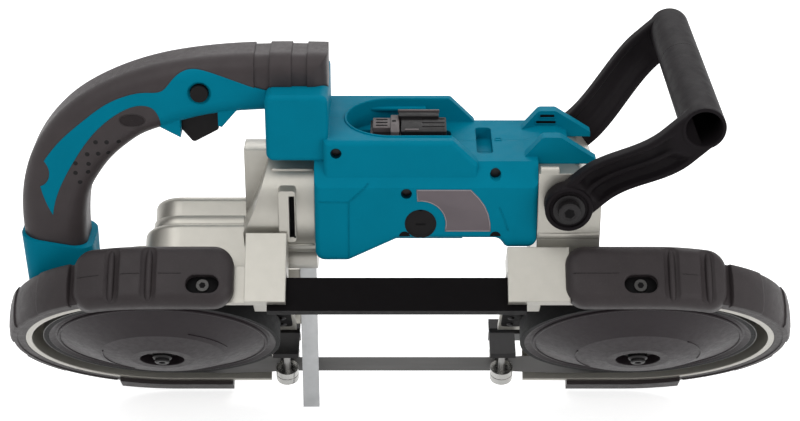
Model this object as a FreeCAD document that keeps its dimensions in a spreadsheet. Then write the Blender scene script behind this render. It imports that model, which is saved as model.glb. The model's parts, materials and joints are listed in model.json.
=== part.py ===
"""Cordless portable band saw, without its battery, as a set of separate pieces.

X runs along the tool with the front handle at +X, Y runs across it, Z is up.
The two wheels lie in one plane that is tilted about X. Pieces that belong to the
wheels are drawn in that plane (x, w, k) and stood up by WHEEL_PLANE. Pieces of the
motor body and the handles are drawn level, from the height of the wheel centres.
"""
import FreeCAD, Part
import Sketcher
import math
import os
import re
from types import SimpleNamespace

V = FreeCAD.Vector

# Driving dimensions in millimetres, angles in degrees.
SIZES = {
    # blade loop and wheels
    "wheel_span": 320.0,
    "wheel_tilt": 47.0,
    "wheel_height": 84.0,
    "blade_radius": 79.5,
    "blade_width": 13.0,
    "blade_thickness": 0.5,
    "blade_twist": 60.0,
    "twist_lead": 15.0,
    "running_gap": 0.3,
    "shaft_gap": 0.05,
    "cut_overrun": 5.0,
    "tyre_thickness": 3.0,
    "tyre_width": 13.0,
    "rim_depth": 8.0,
    "rim_face_drop": 1.5,
    "web_thickness": 4.0,
    "hub_radius": 21.0,
    "hub_drop": 19.5,
    "dish_radius": 42.0,
    "dish_drop": 16.0,
    "hub_top": 7.5,
    "hub_recess_radius": 15.0,
    "hub_recess_depth": 7.0,
    # frame casting
    "pan_radius": 91.0,
    "pan_wall": 4.0,
    "pan_rim_drop": 9.0,
    "ceiling_under": 12.0,
    "ceiling_top": 16.0,
    "rear_chord": 72.0,
    "front_chord": 68.0,
    "guide_notch": 20.0,
    "guide_notch_start": 35.0,
    "block_reach": 97.0,
    "block_depth": 27.0,
    "block_drop": 10.0,
    "rear_block_width": 26.0,
    "rear_block_top": 36.0,
    "front_block_width": 39.0,
    "front_block_top": 26.5,
    "beam_near": 76.0,
    "beam_far": 58.0,
    "beam_drop": 4.0,
    "seat_boss_wall": 4.0,
    "seat_boss_drop": 4.0,
    "beam_end": 22.0,
    "post_width": 31.0,
    "post_near": 42.0,
    "post_far": 58.0,
    "post_top": 25.0,
    "post_drop": 18.0,
    "post_base_near": 36.0,
    "post_base_far": 52.0,
    "post_base_top": 33.0,
    # rubber bumpers
    "band_thickness": 8.0,
    "band_drop": 9.0,
    "band_top": 18.0,
    "pad_reach": 103.0,
    "pad_drop": 13.0,
    "pad_top": 27.0,
    "pad_outer_end": 47.5,
    "rear_pad_inner_end": 55.0,
    "front_pad_inner_end": 56.0,
    "pad_round": 8.0,
    "pad_corner": 13.0,
    "far_pad_reach": 103.0,
    "far_pad_drop": 12.0,
    "far_pad_half": 40.0,
    "far_pad_top": 18.0,
    "groove_depth": 3.0,
    "groove_radius": 6.0,
    "rear_groove_start": -2.0,
    "front_groove_start": 11.0,
    "groove_spread": 24.0,
    "screw_recess_length": 21.0,
    "screw_recess_height": 12.0,
    "screw_recess_depth": 5.0,
    "rear_screw_shift": 36.0,
    "front_screw_shift": 9.0,
    "bumper_screw_radius": 4.0,
    "bumper_screw_length": 9.0,
    # blade guard bar
    "guard_thickness": 2.0,
    "guard_drop": 14.0,
    "guard_top": 8.0,
    "guard_overlap": 12.0,
    "guard_flange": 8.0,
    # cutting strand guides
    "rear_guide_place": 80.0,
    "front_guide_place": 72.0,
    "roller_radius": 8.0,
    "roller_length": 10.0,
    "roller_pin_radius": 2.5,
    "roller_gap": 0.1,
    "holder_plate": 4.0,
    "holder_length": 18.0,
    "holder_half_width": 18.0,
    "holder_standoff": 27.0,
    "holder_foot_length": 23.0,
    "holder_foot_near": 58.0,
    "holder_foot_far": 75.0,
    "holder_foot_height": 4.0,
    "ear_thickness": 3.0,
    "ear_half": 4.8,
    # work stop
    "stop_place": 69.0,
    "stop_gap": 0.1,
    "stop_web_drop": 46.0,
    "stop_near": 38.0,
    "stop_far": 64.0,
    "stop_thickness": 2.0,
    "stop_flange": 11.5,
    "stop_top": 32.0,
    "stop_bolt_radius": 3.0,
    "stop_bolt_head": 5.5,
    "stop_bolt_head_height": 3.5,
    "stop_bolt_pitch": 22.0,
    "stop_travel": 30.0,
    # drive line
    "motor_height": 103.0,
    "motor_module": 0.8,
    "motor_pinion_teeth": 9,
    "counter_gear_teeth": 56,
    "bevel_module": 1.4,
    "bevel_pinion_teeth": 10,
    "bevel_gear_teeth": 24,
    "bevel_face": 6.0,
    "final_module": 2.0,
    "final_pinion_teeth": 12,
    "final_gear_teeth": 44,
    "final_gear_start": 20.0,
    "final_gear_width": 10.0,
    "counter_gear_width": 8.0,
    "counter_gear_place": 80.0,
    "cross_shaft_radius": 6.0,
    "cross_shaft_shift": 18.0,
    "counter_shaft_radius": 5.0,
    "drive_axle_radius": 8.0,
    "drive_bearing_radius": 16.0,
    "drive_bearing_width": 8.0,
    "small_bearing_radius": 11.0,
    "small_bearing_width": 6.0,
    "case_wall": 4.0,
    "gear_room": 1.0,
    "case_drum_top": 44.0,
    "case_lower_radius": 25.0,
    "case_lower_top": 50.5,
    "case_upper_radius": 19.0,
    "case_upper_top": 71.0,
    "barrel_radius": 36.5,
    "barrel_start": 100.0,
    "barrel_near_start": 84.0,
    "barrel_near_plane": 8.0,
    "barrel_near_top": 135.0,
    "barrel_near_waist": 92.0,
    "barrel_near_waist_height": 111.0,
    "barrel_near_foot": 93.0,
    "barrel_pad_left": 77.0,
    "barrel_pad_right": 66.0,
    "barrel_pad_bottom": 88.0,
    "barrel_pad_top": 124.0,
    "barrel_pad_proud": 2.0,
    "barrel_slot_place": 68.5,
    "barrel_slot_width": 3.5,
    "barrel_slot_depth": 3.0,
    # motor
    "motor_can_radius": 25.0,
    "motor_can_wall": 3.0,
    "motor_can_start": 44.0,
    "motor_can_length": 46.0,
    "core_radius": 16.0,
    "core_length": 34.0,
    "magnet_gap": 1.0,
    "motor_shaft_radius": 4.0,
    "motor_shaft_end": 36.0,
    "commutator_radius": 11.0,
    "commutator_length": 16.0,
    "commutator_place": 13.0,
    "fan_radius": 23.0,
    "fan_length": 7.0,
    "brush_width": 7.0,
    "brush_cap_radius": 10.0,
    "brush_cap_depth": 3.0,
    # motor housing
    "housing_left": 54.0,
    "housing_right": 87.0,
    "housing_half": 42.0,
    "housing_top_half": 32.0,
    "bay_outer_half": 38.0,
    "top_block_half": 34.0,
    "rim_round": 3.0,
    "housing_wall": 3.5,
    "housing_bottom": 76.0,
    "housing_belly": 92.0,
    "ramp_start": 33.0,
    "belly_start": 1.0,
    "belly_end": 63.0,
    "foot_step": 4.0,
    "housing_foot": 85.5,
    "housing_shoulder": 128.0,
    "housing_round": 6.0,
    "top_block_left": 84.0,
    "top_block_right": 45.0,
    "top_block_bottom": 142.5,
    "top_block_top": 187.0,
    "bay_rim": 158.0,
    "bay_left": 34.0,
    "bay_right": 33.0,
    "bay_half": 29.0,
    "bay_depth": 24.0,
    "bay_slope": 16.0,
    "latch_pocket_half": 20.0,
    "latch_pocket_length": 10.0,
    "latch_pocket_depth": 8.0,
    "shelf_height": 142.0,
    "hump_half": 25.0,
    "hump_rib": 8.0,
    "saddle_height": 145.0,
    "saddle_end": 108.0,
    "hump_height": 155.0,
    "hump_start": 90.0,
    "hump_end": 101.0,
    "hump_tip": 124.0,
    "hump_tip_height": 140.0,
    "terminal_length": 48.0,
    "terminal_place": 19.0,
    "terminal_half": 16.0,
    "terminal_height": 15.0,
    "contact_thickness": 1.0,
    "contact_height": 9.0,
    "contact_length": 14.0,
    "housing_screw_radius": 3.5,
    "housing_screw_inset": 5.0,
    # front bracket and front handle
    "bracket_right": 127.0,
    "bracket_half": 40.0,
    "bracket_bottom": 78.0,
    "bracket_top": 137.0,
    "bracket_round": 8.0,
    "pedestal_reach": 30.0,
    "pivot_x": 105.5,
    "pivot_height": 118.0,
    "pivot_bolt_radius": 4.0,
    "pivot_boss_radius": 15.0,
    "pivot_head_radius": 7.0,
    "pivot_head_height": 5.0,
    "pivot_washer_radius": 10.0,
    "pivot_washer_height": 1.6,
    "arm_thickness": 11.0,
    "arm_width": 26.0,
    "arm_web": 4.0,
    "arm_steps": 10.0,
    "grip_x": 180.5,
    "grip_height": 187.5,
    "grip_length": 170.0,
    "grip_radius": 13.3,
    "grip_bore": 11.0,
    # main handle
    "handle_left": 245.0,
    "handle_right": 45.0,
    "handle_bottom": 48.0,
    "handle_top": 206.0,
    "handle_half": 19.0,
    "handle_round": 11.0,
    "grip_skin": 4.0,
    "grip_band_depth": 1.2,
    "grip_band_width": 9.7,
    "grip_band_start": 91.0,
    "grip_band_pitch": 23.3,
    "foot_half": 21.5,
    "foot_left": 246.5,
    "foot_right": 200.5,
    "foot_taper": 4.0,
    "foot_rear_top": 82.0,
    "foot_front_top": 73.0,
    "trigger_x": 127.0,
    "trigger_drop": 10.0,
    "trigger_root": 14.0,
    "trigger_length": 23.5,
    "trigger_depth": 18.0,
    "trigger_half": 8.0,
    "trigger_travel": 6.0,
    "button_x": 125.5,
    "button_rise": 19.0,
    "button_radius": 5.5,
    "button_flange": 7.5,
    "button_proud": 1.5,
    "switch_length": 28.0,
    "switch_height": 20.0,
    "switch_half": 9.0,
    # blade tension
    "idler_axle_radius": 7.0,
    "tension_travel": 6.0,
    "tension_block_length": 30.0,
    "tension_block_half": 15.0,
    "tension_block_height": 12.0,
    "rail_width": 7.0,
    "cam_radius": 9.0,
    "cam_throw": 4.5,
    "cam_gap": 1.0,
    "cam_height": 10.0,
    "lever_length": 62.0,
    "lever_width": 11.0,
    "lever_thickness": 7.0,
    "lever_pin_radius": 4.0,
    "hub_bolt_radius": 6.5,
    "hub_bolt_height": 5.0,
    "hub_washer_radius": 11.0,
    "hub_washer_height": 2.0,
    "bolt_chamfer": 1.0,
}

# Outlines of the main handle as shares of its length (from the back) and height (from the foot).
HANDLE_OUTER_SHARES = [(0.022, 0.0), (0.001, 0.217), (0.012, 0.434), (0.07, 0.626), (0.127, 0.722),
                       (0.191, 0.797), (0.267, 0.858), (0.361, 0.912), (0.465, 0.953), (0.569, 0.978),
                       (0.672, 0.993), (0.764, 1.0), (1.0, 1.0)]
HANDLE_INNER_SHARES = [(0.807, 0.762), (0.716, 0.755), (0.634, 0.743), (0.551, 0.719), (0.463, 0.683),
                       (0.405, 0.653), (0.361, 0.615), (0.306, 0.554), (0.259, 0.478), (0.226, 0.404),
                       (0.208, 0.307), (0.203, 0.214), (0.203, 0.1)]
STRIPE_UPPER_SHARES = [(1.003, 0.855), (0.902, 0.856), (0.811, 0.862), (0.742, 0.889), (0.672, 0.924),
                       (0.614, 0.947), (0.573, 0.951), (0.533, 0.931), (0.506, 0.896), (0.48, 0.862),
                       (0.429, 0.855), (0.368, 0.841), (0.305, 0.806), (0.231, 0.737), (0.154, 0.652),
                       (0.115, 0.596), (0.092, 0.556)]
STRIPE_BARB_SHARES = [(0.092, 0.556), (0.105, 0.521), (0.102, 0.478), (0.074, 0.445)]
STRIPE_TIP_SHARES = [(0.074, 0.445), (0.086, 0.379), (0.107, 0.313)]
STRIPE_LOWER_SHARES = [(0.107, 0.313), (0.132, 0.423), (0.16, 0.495), (0.201, 0.581), (0.258, 0.678),
                       (0.301, 0.73), (0.354, 0.776), (0.405, 0.798), (0.446, 0.788), (0.465, 0.754),
                       (0.463, 0.683)]

# Guards behind and before the trigger, as shares of its length (from its ends) and depth (from its middle).
REAR_HOOK_SHARES = [(-0.9, 1.0), (-0.54, 0.25), (0.0, -0.15), (0.0, 1.0)]
FORE_HOOK_SHARES = [(0.0, 1.0), (0.0, 0.3), (0.1, 0.25), (0.47, 0.82), (0.6, 1.0)]
TRIGGER_ROUND_SHARE = 0.1
TRIGGER_TIP_SHARE = 0.3

# Where the arms of the front handle start to step outwards, as a share of their length.
ARM_STEP_SHARE = 0.19

# Gear teeth: depths as shares of the module, half widths as shares of the tooth pitch.
ROOT_SHARE = 1.25
TIP_SHARE = 0.9
BEVEL_TIP_SHARE = 0.55
FOOT_WIDTH_SHARE = 0.27
TOP_WIDTH_SHARE = 0.08

doc = FreeCAD.newDocument("band_saw")
sheet = doc.addObject("Spreadsheet::Sheet", "Sizes")
for row, (name, value) in enumerate(SIZES.items(), start=1):
    sheet.set(f"A{row}", name)
    sheet.set(f"B{row}", str(value))
    sheet.setAlias(f"B{row}", name)
doc.recompute()
S = SimpleNamespace(**{name: float(sheet.get(name)) for name in SIZES})

WHEEL_PLANE = FreeCAD.Placement(V(0, 0, S.wheel_height), FreeCAD.Rotation(V(1, 0, 0), -S.wheel_tilt))
LEVEL = FreeCAD.Placement(V(0, 0, S.wheel_height), FreeCAD.Rotation())
LEVEL_IN_WHEEL_PLANE = WHEEL_PLANE.inverse().multiply(LEVEL)
WHEEL_PLANE_IN_LEVEL = LEVEL.inverse().multiply(WHEEL_PLANE)
TILT_SIN = math.sin(math.radians(S.wheel_tilt))
TILT_COS = math.cos(math.radians(S.wheel_tilt))
HALF_SPAN = S.wheel_span / 2
FULL_TURN = 2 * math.pi
RIGHT_ANGLE = math.degrees(math.pi / 2)
TWIST_STEPS = 6
FAN_VANES = 9
pieces = []


def bound(text):
    """Turn plain size names into references to the sheet's cells."""
    return re.sub(r"[a-z]+(?:_[a-z]+)+", r"Sizes.\g<0>", text)


def keep(obj, label, placement):
    """Name a finished piece, set it in place and list it for export."""
    obj.Label = label
    obj.Placement = placement
    pieces.append(obj)
    return obj


def formed(label, shape, placement):
    """Keep a cast, moulded or bent form that was made with shape functions."""
    obj = doc.addObject("Part::Feature", label)
    obj.Shape = shape
    return keep(obj, label, placement.multiply(shape.Placement))


def sketch_on(body, role, name):
    """Start a sketch on one of the body's own origin planes."""
    sketch = body.newObject("Sketcher::SketchObject", name)
    plane = next(part for part in body.Origin.OriginFeatures if part.Role == role)
    sketch.AttachmentSupport = [(plane, "")]
    sketch.MapMode = "FlatFace"
    return sketch


def corner_sketch(body, role, name, corners):
    """Closed straight-sided sketch whose corners are pairs of sheet expressions."""
    sketch = sketch_on(body, role, name)
    count = len(corners)
    ring = [V(math.cos(FULL_TURN * i / count), math.sin(FULL_TURN * i / count), 0) for i in range(count)]
    sketch.addGeometry([Part.LineSegment(ring[i], ring[(i + 1) % count]) for i in range(count)])
    for i in range(count):
        sketch.addConstraint(Sketcher.Constraint("Coincident", i, 2, (i + 1) % count, 1))
    for i, (across, up) in enumerate(corners):
        for kind, start, text in (("DistanceX", ring[i].x, across), ("DistanceY", ring[i].y, up)):
            number = sketch.addConstraint(Sketcher.Constraint(kind, -1, 1, i, 1, start))
            sketch.setExpression(f"Constraints[{number}]", bound(text))
    return sketch


def turned(label, corners, placement):
    """Body of revolution about its own Z, from corners given as (radius, height)."""
    body = doc.addObject("PartDesign::Body", label)
    sketch = corner_sketch(body, "XZ_Plane", label + "_profile", corners)
    turn = body.newObject("PartDesign::Revolution", label + "_turn")
    turn.Profile = sketch
    turn.ReferenceAxis = (sketch, ["V_Axis"])
    sketch.Visibility = False
    return keep(body, label, placement)


def padded(label, role, corners, length, placement):
    """Body padded evenly to both sides of one of its origin planes."""
    body = doc.addObject("PartDesign::Body", label)
    sketch = corner_sketch(body, role, label + "_outline", corners)
    pad = body.newObject("PartDesign::Pad", label + "_pad")
    pad.Profile = sketch
    pad.Midplane = True
    pad.setExpression("Length", bound(length))
    return keep(body, label, placement)


def box(x_from, x_to, y_from, y_to, z_from, z_to):
    """Plain block between two opposite corners."""
    return Part.makeBox(x_to - x_from, y_to - y_from, z_to - z_from, V(x_from, y_from, z_from))


def rod(radius, start, end):
    """Round bar between two points."""
    return Part.makeCylinder(radius, (end - start).Length, start, end - start)


def upright(radius, x, y, z_from, z_to):
    """Round bar along Z."""
    return rod(radius, V(x, y, z_from), V(x, y, z_to))


def rounded_wire(corners):
    """Closed wire through (x, y, radius) corners, each rounded by its own arc."""
    count = len(corners)
    edges = []
    joints = []
    for i, (x, y, radius) in enumerate(corners):
        here = V(x, y, 0)
        before = V(corners[i - 1][0], corners[i - 1][1], 0) - here
        after = V(corners[(i + 1) % count][0], corners[(i + 1) % count][1], 0) - here
        before.normalize()
        after.normalize()
        if radius == 0:
            joints.append((here, None, here))
            continue
        half = before.getAngle(after) / 2
        back = radius / math.tan(half)
        bisector = before + after
        bisector.normalize()
        middle = here + bisector * (radius / math.sin(half) - radius)
        joints.append((here + before * back, middle, here + after * back))
    for i, (start, middle, end) in enumerate(joints):
        if middle is not None:
            edges.append(Part.Arc(start, middle, end).toShape())
        edges.append(Part.LineSegment(end, joints[(i + 1) % count][0]).toShape())
    return Part.Wire(edges)


def plate(corners, z_from, z_to):
    """Plate with rounded corners in XY, between two heights."""
    face = Part.Face(rounded_wire(corners))
    face.translate(V(0, 0, z_from))
    return face.extrude(V(0, 0, z_to - z_from))


def side_plate(corners, y_from, y_to):
    """Plate with rounded corners in XZ, between two stations across the tool."""
    solid = plate(corners, -y_to, -y_from)
    solid.rotate(V(0, 0, 0), V(1, 0, 0), RIGHT_ANGLE)
    return solid


def cross_plate(corners, x_from, x_to):
    """Solid along the tool with a polygon section given as (y, height)."""
    points = [V(x_from, y, z) for y, z in corners]
    return Part.Face(Part.makePolygon(points + points[:1])).extrude(V(x_to - x_from, 0, 0))


def union(shapes):
    """One solid out of several that touch or cross."""
    return shapes[0].fuse(shapes[1:]).removeSplitter()


def largest(shape):
    """The biggest solid of a shape."""
    return max(shape.Solids, key=lambda solid: solid.Volume)


def outline_edges(solid, y):
    """Edges of a side plate that lie in the plane across the tool at y."""
    return [edge for edge in solid.Edges
            if abs(edge.BoundBox.YMin - y) + abs(edge.BoundBox.YMax - y) < S.shaft_gap]


# Wheels, tyres, axles and their fasteners

def wheel_corners(bore):
    """Half section of a dished wheel as (radius, height) expressions."""
    rim = "blade_radius - blade_thickness / 2 - running_gap - tyre_thickness"
    return [(bore, "hub_top"), ("hub_radius - web_thickness", "hub_top"),
            ("hub_radius", "web_thickness - hub_drop"),
            (rim + " - rim_depth", "web_thickness - tyre_width / 2"),
            (rim + " - rim_depth", "tyre_width / 2"), (rim, "tyre_width / 2"),
            (rim, "-tyre_width / 2"), (rim + " - rim_depth / 2", "rim_face_drop - tyre_width / 2"),
            (rim + " - rim_depth", "-tyre_width / 2"), ("dish_radius", "-dish_drop"),
            ("hub_radius", "-hub_drop"), ("hub_recess_radius", "-hub_drop"),
            ("hub_recess_radius", "hub_recess_depth - hub_drop"),
            (bore, "hub_recess_depth - hub_drop")]


def build_wheels():
    """Both wheels with their tyres, hub washers and hub bolts."""
    tyre = "blade_radius - blade_thickness / 2 - running_gap"
    tyre_corners = [(tyre + " - tyre_thickness", "-tyre_width / 2"), (tyre, "-tyre_width / 2"),
                    (tyre, "tyre_width / 2"), (tyre + " - tyre_thickness", "tyre_width / 2")]
    for label, side, bore in (("drive", -1, "drive_axle_radius"), ("idler", 1, "small_bearing_radius")):
        place = WHEEL_PLANE.multiply(FreeCAD.Placement(V(side * HALF_SPAN, 0, 0), FreeCAD.Rotation()))
        turned(label + "_wheel", wheel_corners(bore), place)
        turned(label + "_tyre", tyre_corners, place)
        seat = "hub_recess_depth - hub_drop"
        lift = "" if side < 0 else " - running_gap"
        head = seat + lift + " - hub_washer_height"
        turned(label + "_hub_bolt", [("0", seat + lift), ("hub_washer_radius", seat + lift),
                                     ("hub_washer_radius", head), ("hub_bolt_radius", head),
                                     ("hub_bolt_radius", head + " - hub_bolt_height + bolt_chamfer"),
                                     ("hub_bolt_radius - bolt_chamfer", head + " - hub_bolt_height"),
                                     ("0", head + " - hub_bolt_height")], place)


def build_axles():
    """Drive axle with its two bearings, and idler axle with the bearings in its wheel."""
    drive = WHEEL_PLANE.multiply(FreeCAD.Placement(V(-HALF_SPAN, 0, 0), FreeCAD.Rotation()))
    idler = WHEEL_PLANE.multiply(FreeCAD.Placement(V(HALF_SPAN, 0, 0), FreeCAD.Rotation()))
    foot = "hub_recess_depth - hub_drop"
    turned("drive_axle", [("0", foot), ("drive_axle_radius", foot),
                          ("drive_axle_radius", "case_drum_top - case_wall"),
                          ("0", "case_drum_top - case_wall")], drive)
    seat_foot = S.ceiling_under - S.seat_boss_drop
    starts = (seat_foot, S.case_drum_top - S.case_wall - S.drive_bearing_width)
    bearing_pair("drive_axle_bearings", S.drive_axle_radius, S.drive_bearing_radius, S.drive_bearing_width,
                 V(0, 0, 1), starts, drive)
    end = "ceiling_top + tension_block_height"
    turned("idler_axle", [("0", foot + " - running_gap"), ("idler_axle_radius", foot + " - running_gap"),
                          ("idler_axle_radius", end), ("0", end)], idler)
    starts = (S.hub_recess_depth - S.hub_drop, S.hub_top - S.small_bearing_width)
    bearing_pair("idler_bearings", S.idler_axle_radius, S.small_bearing_radius, S.small_bearing_width,
                 V(0, 0, 1), starts, idler)


def bearing_pair(label, shaft_radius, outer_radius, width, axis, starts, placement):
    """Two closed ball bearings on one axis, each drawn as a ring that clears its shaft."""
    rings = []
    for start in starts:
        foot = axis * start
        head = axis * (start + width)
        rings.append(rod(outer_radius, foot, head).cut(rod(shaft_radius + S.shaft_gap, foot, head)))
    formed(label, Part.makeCompound(rings), placement)


# Blade

def blade_section(x, turn):
    """Cross-section of the cutting strand at x, twisted about its own middle."""
    half_width = S.blade_width / 2
    half_thick = S.blade_thickness / 2
    corners = [(-half_thick, -half_width), (half_thick, -half_width),
               (half_thick, half_width), (-half_thick, half_width)]
    cosine = math.cos(math.radians(turn))
    sine = math.sin(math.radians(turn))
    points = [V(x, S.blade_radius + a * cosine - b * sine, a * sine + b * cosine) for a, b in corners]
    return Part.makePolygon(points + points[:1])


def build_blade():
    """Endless blade: two half turns, a plain return strand and a twisted cutting strand."""
    half_width = S.blade_width / 2
    outer = S.blade_radius + S.blade_thickness / 2
    inner = S.blade_radius - S.blade_thickness / 2
    spans = []
    for side in (-1, 1):
        ring = d_shape(side, outer, 0, -half_width, half_width)
        ring = ring.cut(d_shape(side, inner, -side * S.cut_overrun, -half_width, half_width))
        reach = HALF_SPAN - S.twist_lead
        cutter = box(min(0, side * reach), max(0, side * reach), 0, outer + S.cut_overrun,
                     -half_width, half_width)
        spans.append(ring.cut(cutter))
        guide = S.rear_guide_place if side < 0 else S.front_guide_place
        sections = []
        for step in range(TWIST_STEPS + 1):
            share = step / TWIST_STEPS
            sections.append(blade_section(side * (reach + (guide - reach) * share), S.blade_twist * share))
        spans.append(Part.makeLoft(sections, True, False))
    cut_run = [blade_section(-S.rear_guide_place, S.blade_twist),
               blade_section(S.front_guide_place, S.blade_twist)]
    spans.append(Part.makeLoft(cut_run, True, True))
    formed("blade", union(spans), WHEEL_PLANE)


# Frame casting, blade guard and bumpers

def d_shape(side, radius, chord, z_from, z_to):
    """Half circle round one wheel, run on straight to a chord across the tool."""
    centre = side * HALF_SPAN
    near = V(centre, -radius, z_from)
    far = V(centre, radius, z_from)
    chord_near = V(chord, -radius, z_from)
    chord_far = V(chord, radius, z_from)
    edges = [Part.Arc(near, V(centre + side * radius, 0, z_from), far).toShape()]
    for start, end in ((far, chord_far), (chord_far, chord_near), (chord_near, near)):
        edges.append(Part.LineSegment(start, end).toShape())
    return Part.Face(Part.Wire(edges)).extrude(V(0, 0, z_to - z_from))


def span_box(x_one, x_two, y_from, y_to, z_from, z_to):
    """Block whose two stations along the tool may come in either order."""
    return box(min(x_one, x_two), max(x_one, x_two), y_from, y_to, z_from, z_to)


def cross_shaft_axis():
    """Place (x, w) of the cross shaft that drives the final gear."""
    reach = S.final_module * (S.final_pinion_teeth + S.final_gear_teeth) / 2
    return -HALF_SPAN + S.cross_shaft_shift, -math.sqrt(reach ** 2 - S.cross_shaft_shift ** 2)


def motor_axis():
    """Place (w, k) of the motor's axis in the wheel plane."""
    return -S.motor_height * TILT_SIN, S.motor_height * TILT_COS


def counter_shaft_axis():
    """Place (w, k) of the countershaft, in line with the cross shaft."""
    reach = S.motor_module * (S.motor_pinion_teeth + S.counter_gear_teeth) / 2
    motor_w, motor_k = motor_axis()
    counter_w = cross_shaft_axis()[1]
    return counter_w, motor_k - math.sqrt(reach ** 2 - (counter_w - motor_w) ** 2)


def frame_side(side):
    """One wheel pan with its flat near block."""
    over = S.cut_overrun
    chord, width, top = S.front_chord, S.front_block_width, S.front_block_top
    if side < 0:
        chord, width, top = S.rear_chord, S.rear_block_width, S.rear_block_top
    edge = side * chord
    inner = S.pan_radius - S.pan_wall
    pan = d_shape(side, S.pan_radius, edge, -S.pan_rim_drop, S.ceiling_top)
    pan = pan.cut(d_shape(side, inner, edge - side * over, -S.pan_rim_drop - over, S.ceiling_under))
    pan = pan.cut(span_box(edge - side * over, edge + side * S.guide_notch, S.guide_notch_start,
                           S.pan_radius + over,
                           -S.pan_rim_drop - over, S.ceiling_top + over))
    pan = pan.cut(span_box(edge - side * over, edge + side * (S.guard_overlap + S.running_gap),
                           -S.pan_radius, -inner, -S.pan_rim_drop - over, S.ceiling_under))
    outer_end = edge + side * width
    wall = span_box(edge, outer_end, -S.block_reach, -S.pan_radius, -S.block_drop, top)
    cap = span_box(edge, outer_end, -S.block_reach, S.block_depth - S.block_reach, S.ceiling_top, top)
    return union([pan, wall, cap])


def build_frame():
    """Cast frame: two wheel pans joined by a beam, with seats for axles, rails and the work stop."""
    over = S.cut_overrun
    beam = box(-S.rear_chord - S.beam_end, S.front_chord + S.beam_end, -S.beam_near, -S.beam_far,
               -S.beam_drop, S.ceiling_under)
    seat = upright(S.drive_bearing_radius + S.seat_boss_wall, -HALF_SPAN, 0,
                   S.ceiling_under - S.seat_boss_drop, S.ceiling_top)
    post = box(-S.stop_place - S.post_width, -S.stop_place, S.post_near, S.post_far,
               -S.post_drop, S.post_top)
    post.Placement = LEVEL_IN_WHEEL_PLANE
    base = box(-S.stop_place - S.post_width, -S.rear_chord - S.guide_notch, S.post_base_near,
               S.post_base_far, S.ceiling_under, S.post_base_top)
    rail_top = S.ceiling_top + S.tension_block_height
    lip_under = S.ceiling_top + S.tension_block_height / 2 + S.running_gap
    rail_start = HALF_SPAN - S.tension_block_length / 2 - S.tension_travel
    rail_end = HALF_SPAN + S.tension_block_length / 2
    rails = []
    for hand in (-1, 1):
        edge = S.tension_block_half + S.running_gap
        rail = box(rail_start, rail_end, min(hand * edge, hand * (edge + S.rail_width)),
                   max(hand * edge, hand * (edge + S.rail_width)), S.ceiling_top, rail_top)
        lip = box(rail_start, rail_end, min(hand * (edge - S.pan_wall), hand * edge),
                  max(hand * (edge - S.pan_wall), hand * edge), lip_under, rail_top)
        rails += [rail, lip]
    frame = union([frame_side(-1), frame_side(1), beam, seat, post, base] + rails)
    cross_x, cross_w = cross_shaft_axis()
    slot_half = S.idler_axle_radius + S.running_gap
    cuts = [upright(S.drive_bearing_radius, -HALF_SPAN, 0, -over, S.ceiling_top + over),
            upright(S.small_bearing_radius, cross_x, cross_w, S.ceiling_under - over, S.ceiling_top + over),
            box(HALF_SPAN - S.tension_travel - slot_half, HALF_SPAN + slot_half, -slot_half, slot_half,
                S.ceiling_under - over, S.ceiling_top + over),
            upright(S.lever_pin_radius, lever_place(), 0, S.ceiling_under - over, S.ceiling_top + over)]
    return frame.cut(cuts)


def lever_place():
    """Station of the tension lever's pin along the tool."""
    return (HALF_SPAN - S.tension_block_length / 2 - S.cam_gap - S.cam_radius - S.cam_throw)


def build_guard():
    """Angle bar that covers the return strand between the two near blocks."""
    near = "-pan_radius"
    corners = [(near, "-guard_drop"), (near + " + guard_flange", "-guard_drop"),
               (near + " + guard_flange", "guard_thickness - guard_drop"),
               (near + " + guard_thickness", "guard_thickness - guard_drop"),
               (near + " + guard_thickness", "guard_top"), (near, "guard_top")]
    shift = (S.front_chord - S.rear_chord) / 2
    place = WHEEL_PLANE.multiply(FreeCAD.Placement(V(shift, 0, 0), FreeCAD.Rotation()))
    padded("blade_guard", "YZ_Plane", corners, "rear_chord + front_chord + 2 * guard_overlap", place)


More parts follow.
